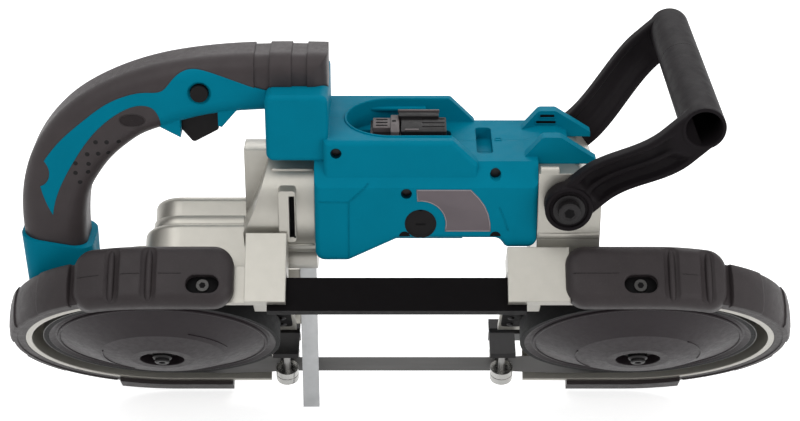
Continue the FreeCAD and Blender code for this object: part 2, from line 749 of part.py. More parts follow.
def bumper_shape(side):
    """Rubber bumper round one end of the frame, thick where the saw is laid down."""
    over = S.cut_overrun
    inner_end = S.front_pad_inner_end if side > 0 else S.rear_pad_inner_end
    chord = side * (HALF_SPAN - S.far_pad_half)
    pad_in = side * (HALF_SPAN - inner_end)
    pad_out = side * (HALF_SPAN + S.pad_outer_end)
    core = d_shape(side, S.pan_radius, 0, -S.pad_drop - over, S.pad_top + over)
    band = d_shape(side, S.pan_radius + S.band_thickness, chord, -S.band_drop, S.band_top)
    pad = d_shape(side, S.pad_reach, pad_in, -S.pad_drop, S.pad_top)
    pad = pad.common(span_box(pad_in, pad_out, -S.pad_reach, -S.pan_radius / 2, -S.pad_drop, S.pad_top))
    pad = pad.cut(core)
    corners = [edge for edge in pad.Edges if edge.BoundBox.XLength < over and edge.BoundBox.ZLength < over
               and edge.BoundBox.YMin < -S.pan_radius]
    pad = pad.makeFillet(S.pad_corner, corners)
    rounds = [edge for edge in pad.Edges if edge.BoundBox.YMax < -S.pan_radius - S.running_gap]
    pad = pad.makeFillet(S.pad_round, rounds)
    far = d_shape(side, S.far_pad_reach, chord, -S.far_pad_drop, S.far_pad_top)
    far = far.common(span_box(chord, side * (HALF_SPAN + S.far_pad_half), S.pan_radius / 2, S.far_pad_reach,
                              -S.far_pad_drop, S.far_pad_top))
    far = far.cut(core)
    bumper = union([band.cut(core), pad, far])
    screw_x = bumper_screw_place(side)
    half_length = S.screw_recess_length / 2
    half_height = S.screw_recess_height / 2
    recess = plate([(screw_x - half_length, -half_height, half_height - S.shaft_gap),
                    (screw_x + half_length, -half_height, half_height - S.shaft_gap),
                    (screw_x + half_length, half_height, half_height - S.shaft_gap),
                    (screw_x - half_length, half_height, half_height - S.shaft_gap)],
                   0, S.screw_recess_depth + over)
    recess.rotate(V(0, 0, 0), V(1, 0, 0), RIGHT_ANGLE)
    recess.translate(V(0, S.screw_recess_depth - S.pad_reach, 0))
    hole = rod(S.bumper_screw_radius, V(screw_x, -S.pad_reach, 0), V(screw_x, -S.pan_radius + over, 0))
    cuts = [recess, hole]
    start = S.front_groove_start if side > 0 else S.rear_groove_start
    for turn in (0, 1):
        offset = start + S.groove_spread * turn
        reach = S.pad_reach - S.groove_depth + S.groove_radius
        near = -math.sqrt(reach ** 2 - max(0, offset) ** 2)
        cuts.append(upright(S.groove_radius, side * (HALF_SPAN + offset), near, -S.pad_drop - over,
                            S.pad_top + over))
    return bumper.cut(cuts)


def bumper_screw_place(side):
    """Station of the screw that holds a bumper's near pad."""
    return side * (HALF_SPAN - (S.front_screw_shift if side > 0 else S.rear_screw_shift))


def build_frame_pieces():
    """Frame, bumpers, their screws and the blade guard."""
    frame = build_frame()
    formed("main_frame", frame, WHEEL_PLANE)
    build_guard()
    screws = []
    for side, label in ((-1, "rear_bumper"), (1, "front_bumper")):
        formed(label, largest(bumper_shape(side).cut(frame)), WHEEL_PLANE)
        x = bumper_screw_place(side)
        floor = -S.pan_radius
        screws.append(rod(S.bumper_screw_radius, V(x, floor - S.bumper_screw_length, 0), V(x, floor, 0)))
    formed("bumper_screws", Part.makeCompound(screws), WHEEL_PLANE)
    return frame


# Guides of the cutting strand

def guide_place(side):
    """Frame of a guide: Y across the blade's face, Z from the teeth to the blade's back."""
    x = S.front_guide_place if side > 0 else -S.rear_guide_place
    turn = FreeCAD.Rotation(V(1, 0, 0), S.blade_twist)
    return WHEEL_PLANE.multiply(FreeCAD.Placement(V(x, S.blade_radius, 0), turn))


def roller_offset():
    """Distance of a side roller's axis from the middle of the blade."""
    return S.blade_thickness / 2 + S.roller_gap + S.roller_radius


def back_roller_height():
    """Height of the back roller's axis above the middle of the blade."""
    return S.blade_width / 2 + S.roller_gap + S.roller_radius


def build_guides(frame):
    """Holder, pins and three rollers at each end of the cutting strand."""
    half = S.roller_length / 2
    bore = S.roller_pin_radius + S.shaft_gap
    for side, name in ((-1, "rear"), (1, "front")):
        place = guide_place(side)
        inner = S.holder_standoff - S.holder_plate
        plate_solid = box(-S.holder_length / 2, S.holder_length / 2, -S.holder_half_width,
                          S.holder_half_width, inner, S.holder_standoff)
        ears = []
        pins = []
        for hand in (-1, 1):
            near = hand * (half / 2 + S.running_gap)
            far = near + hand * S.ear_thickness
            ears.append(box(-S.ear_half, S.ear_half, min(near, far), max(near, far),
                            back_roller_height() - S.roller_pin_radius * 2, inner))
            t = hand * roller_offset()
            pins.append(rod(S.roller_pin_radius, V(0, t, -half - S.running_gap), V(0, t, inner)))
        reach = half / 2 + S.running_gap + S.ear_thickness
        back_pin = rod(S.roller_pin_radius, V(0, -reach, back_roller_height()),
                       V(0, reach, back_roller_height()))
        holder = union([plate_solid] + ears).cut(back_pin)
        foot = span_box(-side * S.holder_length / 2, side * (S.holder_length / 2 + S.holder_foot_length),
                        S.holder_foot_near, S.holder_foot_far, S.ceiling_top,
                        S.ceiling_top + S.holder_foot_height)
        foot.translate(V(place.Base.x, 0, 0))
        foot.Placement = place.inverse().multiply(WHEEL_PLANE).multiply(foot.Placement)
        blocked = frame.copy()
        blocked.Placement = place.inverse().multiply(WHEEL_PLANE)
        formed(name + "_guide_holder", largest(union([holder, foot]).cut(pins + [back_pin, blocked])), place)
        formed(name + "_guide_pins", Part.makeCompound(pins + [back_pin]), place)
        for hand, label in ((-1, "near"), (1, "far")):
            t = hand * roller_offset()
            roller = rod(S.roller_radius, V(0, t, -half), V(0, t, half))
            groove = rod(S.roller_radius + S.running_gap, V(0, t, -S.running_gap), V(0, t, S.running_gap))
            groove = groove.cut(rod(S.roller_radius - S.running_gap * 2, V(0, t, -half), V(0, t, half)))
            roller = roller.cut([rod(bore, V(0, t, -half), V(0, t, half)), groove])
            formed(f"{name}_{label}_roller", roller, place)
        back = rod(S.roller_radius, V(0, -half / 2, back_roller_height()),
                   V(0, half / 2, back_roller_height()))
        back = back.cut(rod(bore, V(0, -half, back_roller_height()), V(0, half, back_roller_height())))
        formed(name + "_back_roller", back, place)


def build_stop():
    """Work stop: a folded plate that slides on two bolts in the frame's post."""
    left = -S.stop_place + S.stop_gap
    web = box(left, left + S.stop_thickness, S.stop_near, S.stop_far, -S.stop_web_drop, S.stop_top)
    flange = box(left, left + S.stop_flange, S.stop_near, S.stop_near + S.stop_thickness,
                 -S.wheel_height, S.stop_top)
    middle = (S.post_near + S.post_far) / 2
    upper = S.post_top - S.stop_bolt_head - S.stop_bolt_radius
    lower = upper - S.stop_bolt_pitch
    half = S.stop_bolt_radius + S.running_gap
    slot = box(left - S.cut_overrun, left + S.stop_flange, middle - half, middle + half,
               lower - half - S.stop_travel, upper + half)
    formed("stop_plate", union([web, flange]).cut(slot), LEVEL)
    bolts = []
    for height in (lower, upper):
        shank = rod(S.stop_bolt_radius, V(-S.stop_place, middle, height),
                    V(left + S.stop_thickness + S.stop_gap, middle, height))
        head = rod(S.stop_bolt_head, V(left + S.stop_thickness + S.stop_gap, middle, height),
                   V(left + S.stop_thickness + S.stop_gap + S.stop_bolt_head_height, middle, height))
        bolts.append(union([shank, head]))
    formed("stop_bolts", Part.makeCompound(bolts), LEVEL)


# Drive line

def gear_wire(teeth, module, turn, height, tip_share):
    """Toothed outline about Z with plain flanks; turn is the first tooth's angle in radians."""
    pitch = module * teeth / 2
    root = pitch - ROOT_SHARE * module
    tip = pitch + tip_share * module
    points = []
    for tooth in range(int(teeth)):
        middle = turn + FULL_TURN * tooth / teeth
        for radius, lean in ((root, -FOOT_WIDTH_SHARE), (tip, -TOP_WIDTH_SHARE),
                             (tip, TOP_WIDTH_SHARE), (root, FOOT_WIDTH_SHARE)):
            angle = middle + lean * FULL_TURN / teeth
            points.append(V(radius * math.cos(angle), radius * math.sin(angle), height))
    return Part.makePolygon(points + points[:1])


def spur_gear(teeth, module, turn, z_from, z_to):
    """Straight-toothed gear blank about Z."""
    return Part.Face(gear_wire(teeth, module, turn, z_from, TIP_SHARE)).extrude(V(0, 0, z_to - z_from))


def bevel_gear(teeth, mate_teeth, module, turn):
    """Straight bevel gear about Z with its apex at the origin and its large end below."""
    large = module * mate_teeth / 2
    slant = math.hypot(large, module * teeth / 2)
    small_share = 1 - S.bevel_face / slant
    wires = [gear_wire(teeth, module, turn, -large, BEVEL_TIP_SHARE),
             gear_wire(teeth, module * small_share, turn, -large * small_share, BEVEL_TIP_SHARE)]
    return Part.makeLoft(wires, True, True)


def tip_radius(teeth, module):
    """Outer radius of a gear."""
    return module * (teeth / 2 + TIP_SHARE)


def build_gears():
    """Final gear, cross shaft and countershaft with their bearings, all in the wheel plane."""
    cross_x, cross_w = cross_shaft_axis()
    counter_w, counter_k = counter_shaft_axis()
    start = S.final_gear_start
    end = start + S.final_gear_width
    mesh = math.atan2(cross_w, S.cross_shaft_shift)
    final = spur_gear(S.final_gear_teeth, S.final_module, mesh, start, end)
    final = final.cut(upright(S.drive_axle_radius, 0, 0, start, end))
    final.translate(V(-HALF_SPAN, 0, 0))
    formed("final_gear", final, WHEEL_PLANE)
    half_tooth = math.pi / S.final_pinion_teeth
    pinion = spur_gear(S.final_pinion_teeth, S.final_module, mesh + math.pi + half_tooth, start, end)
    bevel = bevel_gear(S.bevel_gear_teeth, S.bevel_pinion_teeth, S.bevel_module, 0)
    bevel.translate(V(0, 0, counter_k))
    shaft_top = S.case_upper_top - S.case_wall
    shaft = upright(S.cross_shaft_radius, 0, 0, S.ceiling_under, shaft_top)
    bevel_foot = counter_k - S.bevel_module * S.bevel_pinion_teeth / 2
    collar = upright(S.cross_shaft_radius + S.case_wall, 0, 0, end, bevel_foot)
    cross = union([pinion, shaft, collar, bevel])
    cross.translate(V(cross_x, cross_w, 0))
    formed("cross_shaft", cross, WHEEL_PLANE)
    at_cross = WHEEL_PLANE.multiply(FreeCAD.Placement(V(cross_x, cross_w, 0), FreeCAD.Rotation()))
    starts = (S.ceiling_under, shaft_top - S.small_bearing_width)
    bearing_pair("cross_shaft_bearings", S.cross_shaft_radius, S.small_bearing_radius, S.small_bearing_width,
                 V(0, 0, 1), starts, at_cross)
    pinion_bevel = bevel_gear(S.bevel_pinion_teeth, S.bevel_gear_teeth, S.bevel_module,
                              math.pi / S.bevel_pinion_teeth)
    pinion_bevel.rotate(V(0, 0, 0), V(0, 1, 0), -RIGHT_ANGLE)
    pinion_bevel.translate(V(cross_x, counter_w, counter_k))
    gear_start = -S.counter_gear_place
    counter_gear = spur_gear(S.counter_gear_teeth, S.motor_module, 0, 0, S.counter_gear_width)
    counter_gear.rotate(V(0, 0, 0), V(0, 1, 0), RIGHT_ANGLE)
    counter_gear.rotate(V(0, 0, 0), V(1, 0, 0), math.degrees(counter_turn()))
    counter_gear.translate(V(gear_start, counter_w, counter_k))
    large_x = cross_x + S.bevel_module * S.bevel_gear_teeth / 2
    counter_end = gear_start + S.counter_gear_width + S.gear_room + S.small_bearing_width
    counter = rod(S.counter_shaft_radius, V(large_x, counter_w, counter_k),
                  V(counter_end, counter_w, counter_k))
    formed("countershaft", union([pinion_bevel, counter, counter_gear]), WHEEL_PLANE)
    at_counter = WHEEL_PLANE.multiply(FreeCAD.Placement(V(0, counter_w, counter_k), FreeCAD.Rotation()))
    starts = (large_x + S.gear_room, counter_end - S.small_bearing_width)
    bearing_pair("countershaft_bearings", S.counter_shaft_radius, S.small_bearing_radius,
                 S.small_bearing_width, V(1, 0, 0), starts, at_counter)


def counter_turn():
    """Angle about X from the countershaft to the motor, measured from -Z of the wheel plane."""
    counter_w, counter_k = counter_shaft_axis()
    motor_w, motor_k = motor_axis()
    return math.atan2(motor_w - counter_w, counter_k - motor_k)


def level_rod(radius, x_from, x_to, height):
    """Round bar along the tool on its middle plane, in the wheel plane's terms."""
    solid = rod(radius, V(x_from, 0, height), V(x_to, 0, height))
    solid.Placement = LEVEL_IN_WHEEL_PLANE.multiply(solid.Placement)
    return solid


def build_gear_case(frame):
    """Gear case on the rear pan: final gear drum, cross shaft tower and motor barrel."""
    over = S.cut_overrun
    cross_x, cross_w = cross_shaft_axis()
    counter_w, counter_k = counter_shaft_axis()
    final_tip = tip_radius(S.final_gear_teeth, S.final_module) + S.gear_room
    pinion_tip = tip_radius(S.final_pinion_teeth, S.final_module) + S.gear_room
    bevel_tip = tip_radius(S.bevel_gear_teeth, S.bevel_module) + S.gear_room
    bevel_pinion_tip = tip_radius(S.bevel_pinion_teeth, S.bevel_module) + S.gear_room
    counter_tip = tip_radius(S.counter_gear_teeth, S.motor_module) + S.gear_room
    large_x = cross_x + S.bevel_module * S.bevel_gear_teeth / 2
    gear_x = -S.counter_gear_place
    counter_end = gear_x + S.counter_gear_width + S.gear_room + S.small_bearing_width
    bevel_large_k = counter_k - S.bevel_module * S.bevel_pinion_teeth / 2
    drum_roof = S.final_gear_start + S.final_gear_width + S.gear_room
    solids = [upright(final_tip + S.case_wall, -HALF_SPAN, 0, S.ceiling_top, S.case_drum_top)]
    for radius, top in ((S.case_lower_radius, S.case_lower_top), (S.case_upper_radius, S.case_upper_top)):
        tower = union([upright(radius, cross_x, cross_w, S.ceiling_top, top),
                       box(cross_x, -S.barrel_start + over, cross_w - radius, cross_w + radius,
                           S.ceiling_top, top)])
        rim = [edge for edge in tower.Edges if edge.BoundBox.ZMin > top - S.shaft_gap
               and edge.BoundBox.XMax < -S.barrel_start]
        solids.append(tower.makeFillet(S.case_wall, rim))
    solids.append(level_rod(S.barrel_radius, -S.barrel_start, -S.housing_left, S.motor_height))
    solids.append(rod(counter_tip + S.case_wall, V(-S.barrel_start, counter_w, counter_k),
                      V(-S.housing_left, counter_w, counter_k)))
    pad = side_plate([(-S.barrel_pad_left, S.barrel_pad_bottom, S.barrel_pad_proud),
                      (-S.barrel_pad_right, S.barrel_pad_bottom, S.barrel_pad_proud),
                      (-S.barrel_pad_right, S.barrel_pad_top, S.barrel_pad_proud),
                      (-S.barrel_pad_left, S.barrel_pad_top, S.barrel_pad_proud)],
                     -S.barrel_radius - S.barrel_pad_proud, -S.barrel_near_plane)
    pad.Placement = LEVEL_IN_WHEEL_PLANE.multiply(pad.Placement)
    case = union(solids + [pad])
    shaft_room = S.gear_room
    tower_bearing = S.case_upper_top - S.case_wall - S.small_bearing_width
    cuts = [upright(final_tip, -HALF_SPAN, 0, S.ceiling_top - over, drum_roof),
            upright(S.drive_bearing_radius, -HALF_SPAN, 0, S.ceiling_top - over,
                    S.case_drum_top - S.case_wall),
            upright(pinion_tip, cross_x, cross_w, S.ceiling_top - over,
                    S.final_gear_start + S.final_gear_width + shaft_room),
            upright(S.cross_shaft_radius + S.case_wall + shaft_room, cross_x, cross_w, S.ceiling_top,
                    bevel_large_k),
            upright(bevel_tip, cross_x, cross_w, bevel_large_k - shaft_room, bevel_large_k + S.bevel_face),
            upright(S.small_bearing_radius, cross_x, cross_w, bevel_large_k,
                    tower_bearing + S.small_bearing_width),
            rod(bevel_pinion_tip, V(cross_x, counter_w, counter_k),
                V(large_x + shaft_room, counter_w, counter_k)),
            rod(S.small_bearing_radius, V(large_x + shaft_room, counter_w, counter_k),
                V(large_x + shaft_room + S.small_bearing_width, counter_w, counter_k)),
            rod(S.counter_shaft_radius + shaft_room, V(large_x, counter_w, counter_k),
                V(counter_end, counter_w, counter_k)),
            rod(counter_tip, V(gear_x - shaft_room, counter_w, counter_k),
                V(gear_x + S.counter_gear_width + shaft_room, counter_w, counter_k)),
            rod(S.small_bearing_radius, V(gear_x, counter_w, counter_k),
                V(counter_end, counter_w, counter_k)),
            level_rod(S.motor_shaft_radius + shaft_room, gear_x - shaft_room, -S.housing_left + over,
                      S.motor_height),
            level_rod(S.small_bearing_radius, -S.housing_left - S.small_bearing_width, -S.housing_left + over,
                      S.motor_height)]
    slot = box(-S.barrel_slot_place - S.barrel_slot_width / 2, S.barrel_slot_width / 2 - S.barrel_slot_place,
               -S.barrel_radius - S.barrel_pad_proud - over, S.barrel_slot_depth - S.barrel_radius,
               S.barrel_pad_bottom + S.barrel_slot_width, S.barrel_pad_top - S.barrel_slot_width)
    end = side_plate([(-S.barrel_start - over, S.barrel_near_foot, 0),
                      (-S.barrel_start, S.barrel_near_foot, 0),
                      (-S.barrel_near_waist, S.barrel_near_waist_height, 0),
                      (-S.barrel_near_start, S.barrel_near_top, 0),
                      (-S.barrel_near_start, S.motor_height + S.barrel_radius + over, 0),
                      (-S.barrel_start - over, S.motor_height + S.barrel_radius + over, 0)],
                     -S.barrel_radius - over, -S.barrel_near_plane)
    for tool in (slot, end):
        tool.Placement = LEVEL_IN_WHEEL_PLANE.multiply(tool.Placement)
    formed("gear_case", largest(case.cut(cuts + [slot, end, frame])), WHEEL_PLANE)


# Motor

def motor_line():
    """Places local Z along the motor's axis, pointing to the front."""
    turn = FreeCAD.Rotation(V(0, 1, 0), RIGHT_ANGLE)
    return LEVEL.multiply(FreeCAD.Placement(V(0, 0, S.motor_height), turn))


def build_motor():
    """Armature, fan, can, magnets, bearings, brushes and brush caps."""
    core_from = "-motor_can_start + motor_can_wall + running_gap"
    core_to = core_from + " + core_length"
    face = "commutator_place - commutator_length / 2"
    back = "commutator_place + commutator_length / 2"
    shaft_start = "-counter_gear_place + counter_gear_width"
    turned("armature", [("0", shaft_start), ("motor_shaft_radius", shaft_start),
                        ("motor_shaft_radius", core_from), ("core_radius", core_from),
                        ("core_radius", core_to), ("motor_shaft_radius", core_to),
                        ("motor_shaft_radius", face), ("commutator_radius", face),
                        ("commutator_radius", back), ("motor_shaft_radius", back),
                        ("motor_shaft_radius", "motor_shaft_end"), ("0", "motor_shaft_end")], motor_line())
    line = motor_line()
    pinion = spur_gear(S.motor_pinion_teeth, S.motor_module, motor_turn(), -S.counter_gear_place,
                       S.counter_gear_width - S.counter_gear_place)
    formed("motor_pinion", pinion, line)
    hub = upright(S.motor_shaft_radius + S.case_wall, 0, 0, fan_start(), fan_start() + S.fan_length)
    disc = upright(S.fan_radius, 0, 0, fan_start(), fan_start() + S.motor_can_wall / 2)
    fan = [hub, disc]
    vane = box(S.motor_shaft_radius + S.case_wall / 2, S.fan_radius - S.running_gap, -S.contact_thickness / 2,
               S.contact_thickness / 2, fan_start(), fan_start() + S.fan_length)
    for i in range(FAN_VANES):
        blade = vane.copy()
        blade.rotate(V(0, 0, 0), V(0, 0, 1), math.degrees(FULL_TURN * i / FAN_VANES))
        fan.append(blade)
    formed("cooling_fan", union(fan).cut(upright(S.motor_shaft_radius, 0, 0, fan_start(),
                                                 fan_start() + S.fan_length)), line)
    inner = "motor_can_radius - motor_can_wall"
    end = "motor_can_length - motor_can_start"
    turned("motor_can", [(inner, "-motor_can_start"), ("motor_can_radius", "-motor_can_start"),
                         ("motor_can_radius", end), (inner, end)], line)
    magnet_from = -S.motor_can_start + S.motor_can_wall
    ring = upright(S.motor_can_radius - S.motor_can_wall, 0, 0, magnet_from, magnet_from + S.core_length)
    ring = ring.cut(upright(S.core_radius + S.magnet_gap, 0, 0, magnet_from, magnet_from + S.core_length))
    gap = S.brush_width
    slots = [box(-gap / 2, gap / 2, -S.fan_radius * 2, S.fan_radius * 2, -S.motor_can_start,
                 S.motor_can_length)]
    slots.append(slots[0].copy())
    slots[1].rotate(V(0, 0, 0), V(0, 0, 1), RIGHT_ANGLE)
    formed("magnets", ring.cut(slots), line)
    starts = (-S.housing_left - S.small_bearing_width, S.motor_shaft_end - S.small_bearing_width)
    bearing_pair("motor_bearings", S.motor_shaft_radius, S.small_bearing_radius, S.small_bearing_width,
                 V(0, 0, 1), starts, line)
    half = S.brush_width / 2
    brushes = []
    caps = []
    for hand in (-1, 1):
        floor = S.housing_half - S.brush_cap_depth
        start = hand * (S.commutator_radius + S.running_gap)
        brushes.append(box(-half, half, min(start, hand * floor), max(start, hand * floor),
                           S.commutator_place - half, S.commutator_place + half))
        cap = rod(S.brush_cap_radius, V(0, hand * floor, S.commutator_place),
                  V(0, hand * S.housing_half, S.commutator_place))
        slit = box(-S.brush_cap_radius, S.brush_cap_radius, -S.housing_half, S.housing_half,
                   -S.contact_thickness, S.contact_thickness)
        slit.translate(V(0, hand * (S.housing_half * 2 - S.contact_thickness), S.commutator_place))
        caps.append(cap.cut(slit))
    formed("carbon_brushes", Part.makeCompound(brushes), line)
    formed("brush_caps", Part.makeCompound(caps), line)


def motor_turn():
    """Turn of the motor pinion that sets one of its gaps towards the countershaft."""
    counter_w, counter_k = counter_shaft_axis()
    motor_w, motor_k = motor_axis()
    w = counter_w - motor_w
    k = counter_k - motor_k
    across = w * TILT_COS + k * TILT_SIN
    up = k * TILT_COS - w * TILT_SIN
    return math.atan2(across, -up) + math.pi / S.motor_pinion_teeth


def fan_start():
    """Station of the fan's disc, just behind the motor can."""
    return -S.motor_can_start - S.running_gap - S.fan_length


# Motor housing

def housing_body():
    """Lower body of the housing, with sloped shoulders up to the level of the shelf."""
    over = S.cut_overrun
    big = S.housing_round + S.running_gap
    half = S.housing_half
    body = side_plate([(-S.housing_left, S.housing_bottom, big), (-S.ramp_start, S.housing_bottom, big),
                       (-S.belly_start, S.housing_belly, big), (S.belly_end, S.housing_belly, big),
                       (S.belly_end + S.foot_step, S.housing_foot, S.foot_step),
                       (S.housing_right, S.housing_foot, big), (S.housing_right, S.shelf_height, 0),
                       (-S.housing_left, S.shelf_height, 0)], -half, half)
    rims = outline_edges(body, -half) + outline_edges(body, half)
    body = body.makeFillet(S.foot_step - S.running_gap, rims)
    outside = half + over
    top = S.shelf_height + over
    slopes = []
    for hand in (-1, 1):
        slope = [(hand * outside, S.housing_shoulder), (hand * half, S.housing_shoulder),
                 (hand * S.housing_top_half, S.shelf_height), (hand * S.housing_top_half, top),
                 (hand * outside, top)]
        slopes.append(cross_plate(slope, -S.housing_left - over, S.housing_right + over))
    return body.cut(slopes)


def bay_wall():
    """Raised wall round the battery bay, with a rounded rim."""
    half = S.bay_outer_half
    rim = S.rim_round
    wall = side_plate([(-S.top_block_right - rim, S.housing_shoulder, 0),
                       (S.bay_right + S.bay_slope, S.housing_shoulder, 0),
                       (S.bay_right + S.bay_slope, S.shelf_height, rim), (S.bay_right, S.bay_rim, rim),
                       (-S.top_block_right - rim, S.bay_rim, 0)], -half, half)
    return wall.makeFillet(rim, outline_edges(wall, -half) + outline_edges(wall, half))


def hump_shape():
    """Two ribs with a saddle between them, over the front bracket."""
    start = S.housing_right - S.bracket_round
    ribs = []
    for hand in (-1, 1):
        outer = hand * S.hump_half
        inner = hand * (S.hump_half - S.hump_rib)
        rib = side_plate([(start, S.housing_belly, 0), (S.housing_right, S.housing_belly, 0),
                          (S.housing_right, S.bracket_top, 0), (S.hump_tip, S.bracket_top, 0),
                          (S.hump_tip, S.hump_tip_height, S.running_gap),
                          (S.hump_end, S.hump_height, S.hump_rib / 2),
                          (S.hump_start, S.hump_height, S.hump_rib / 2), (start, S.shelf_height, 0)],
                         min(outer, inner), max(outer, inner))
        ribs.append(rib)
    saddle = side_plate([(start, S.housing_belly, 0), (S.housing_right, S.housing_belly, 0),
                         (S.housing_right, S.bracket_top, 0), (S.saddle_end, S.bracket_top, 0),
                         (S.saddle_end, S.shelf_height, 0), (S.hump_end, S.saddle_height, 0),
                         (S.hump_start, S.saddle_height, 0), (start, S.shelf_height, 0)],
                        S.hump_rib - S.hump_half, S.hump_half - S.hump_rib)
    return union(ribs + [saddle])


def housing_shape():
    """Whole moulded housing before it is split along its middle plane."""
    over = S.cut_overrun
    half = S.housing_half
    block_half = S.top_block_half
    block = side_plate([(-S.top_block_left, S.top_block_bottom, over),
                        (-S.top_block_right, S.top_block_bottom, 0),
                        (-S.top_block_right, S.top_block_top, over),
                        (-S.top_block_left, S.top_block_top, over)], -block_half, block_half)
    rims = outline_edges(block, -block_half) + outline_edges(block, block_half)
    block = block.makeFillet(S.rim_round, rims)
    core = side_plate([(-S.housing_left, S.housing_shoulder, 0), (-S.top_block_right, S.housing_shoulder, 0),
                       (-S.top_block_right, S.bay_rim, 0), (-S.housing_left, S.bay_rim, 0)],
                      -S.housing_top_half, S.housing_top_half)
    belly = rod(S.motor_can_radius + S.housing_wall, V(-S.housing_left, 0, S.motor_height),
                V(S.motor_shaft_end + S.gear_room + S.housing_wall, 0, S.motor_height))
    shell = union([housing_body(), bay_wall(), block, core, hump_shape(), belly])
    bay_floor = S.bay_rim - S.bay_depth
    bay_end = S.bay_right + S.bay_slope
    bay = plate([(-S.bay_left, -S.bay_half, S.bay_half - S.running_gap), (bay_end, -S.bay_half, 0),
                 (bay_end, S.bay_half, 0), (-S.bay_left, S.bay_half, S.bay_half - S.running_gap)],
                S.shelf_height, S.bay_rim + over)
    well_half = S.terminal_half + S.running_gap
    well = plate([(-S.bay_left + over, -well_half, over), (S.bay_right, -well_half, over),
                  (S.bay_right, well_half, over), (-S.bay_left + over, well_half, over)],
                 bay_floor, S.bay_rim)
    latch = plate([(bay_end, -S.latch_pocket_half, S.rim_round),
                   (bay_end + S.latch_pocket_length, -S.latch_pocket_half, S.rim_round),
                   (bay_end + S.latch_pocket_length, S.latch_pocket_half, S.rim_round),
                   (bay_end, S.latch_pocket_half, S.rim_round)],
                  S.shelf_height - S.latch_pocket_depth, S.shelf_height + over)
    motor = rod(S.motor_can_radius, V(-S.housing_left - over, 0, S.motor_height),
                V(S.motor_shaft_end + S.gear_room, 0, S.motor_height))
    rear_x = S.motor_shaft_end - S.small_bearing_width
    rear_wall = rod(S.motor_can_radius, V(rear_x, 0, S.motor_height), V(S.belly_end, 0, S.motor_height))
    rear_wall = rear_wall.cut(rod(S.small_bearing_radius, V(rear_x, 0, S.motor_height),
                                  V(S.motor_shaft_end + S.gear_room, 0, S.motor_height)))
    cuts = [bay, well, latch, motor.cut(rear_wall)]
    for hand in (-1, 1):
        cap_floor = hand * (S.housing_half - S.brush_cap_depth)
        cuts.append(rod(S.brush_cap_radius, V(S.commutator_place, cap_floor, S.motor_height),
                        V(S.commutator_place, hand * (half + over), S.motor_height)))
        brush_half = S.brush_width / 2
        cuts.append(box(S.commutator_place - brush_half, S.commutator_place + brush_half, min(0, cap_floor),
                        max(0, cap_floor), S.motor_height - brush_half, S.motor_height + brush_half))
    for x, face, z in screw_places():
        cuts.append(rod(S.housing_screw_radius, V(x, -half - over, z), V(x, S.housing_screw_inset - face, z)))
    return shell.cut(cuts)


def screw_places():
    """Housing screws on the near side, as (x, distance of the face from the middle plane, height)."""
    shoulder = (S.housing_shoulder + S.shelf_height) / 2
    slope_face = (S.housing_half + S.housing_top_half) / 2
    wall = (S.shelf_height + S.bay_rim) / 2
    return [(-S.top_block_right + S.housing_screw_inset, S.bay_outer_half, wall),
            (S.belly_end - S.rim_round, slope_face, shoulder),
            (S.belly_start + S.rim_round, S.housing_half, S.housing_shoulder - S.foot_step)]


def build_housing(blocked):
    """The two halves of the motor housing and the screws that hold them together."""
    shell = housing_shape()
    reach = S.housing_left + S.hump_tip
    tall = S.top_block_top + S.cut_overrun
    for label, y_from, y_to in (("housing_near", -reach, 0), ("housing_far", 0, reach)):
        formed(label, largest(shell.common(box(-reach, reach, y_from, y_to, 0, tall)).cut(blocked)), LEVEL)
    screws = []
    for x, face, z in screw_places():
        floor = S.housing_screw_inset - face
        screws.append(rod(S.housing_screw_radius, V(x, floor - S.bolt_chamfer, z), V(x, floor, z)))
    formed("housing_screws", Part.makeCompound(screws), LEVEL)
    bay_floor = S.bay_rim - S.bay_depth
    left = -S.terminal_place
    right = left + S.terminal_length
    half = S.terminal_half
    block = plate([(left, -half, S.bolt_chamfer), (right, -half, S.bolt_chamfer),
                   (right, half, S.bolt_chamfer), (left, half, S.bolt_chamfer)],
                  bay_floor, bay_floor + S.terminal_height)
    contact_foot = bay_floor + S.terminal_height
    contacts = []
    for y in (-half / 2, half / 2):
        contacts.append(box(right - S.contact_length, right, y - S.contact_thickness / 2,
                            y + S.contact_thickness / 2, contact_foot, contact_foot + S.contact_height))
    formed("battery_terminal", block, LEVEL)
    formed("battery_contacts", Part.makeCompound(contacts), LEVEL)


# Main handle

def handle_points(shares):
    """Outline points from shares of the handle's length and height."""
    length = S.handle_left - S.handle_right
    height = S.handle_top - S.handle_bottom
    return [V(-S.handle_left + x * length, 0, S.handle_bottom + z * height) for x, z in shares]


def smooth(points):
    """Smooth edge through a few points."""
    curve = Part.BSplineCurve()
    curve.interpolate(points)
    return curve.toShape()


def inset(points, depth):
    """The points of a smooth outline, moved inwards by a depth."""
    curve = Part.BSplineCurve()
    curve.interpolate(points)
    moved = []
    for point in points:
        along = curve.tangent(curve.parameter(point))[0]
        moved.append(point + V(0, depth, 0).cross(along))
    return moved


def line_edge(start, end):
    """Straight edge between two points."""
    return Part.LineSegment(start, end).toShape()


def across(wire, half):
    """Solid of a closed outline in XZ, evenly to both sides of the middle plane."""
    solid = Part.Face(wire).extrude(V(0, 2 * half, 0))
    solid.translate(V(0, -half, 0))
    return solid


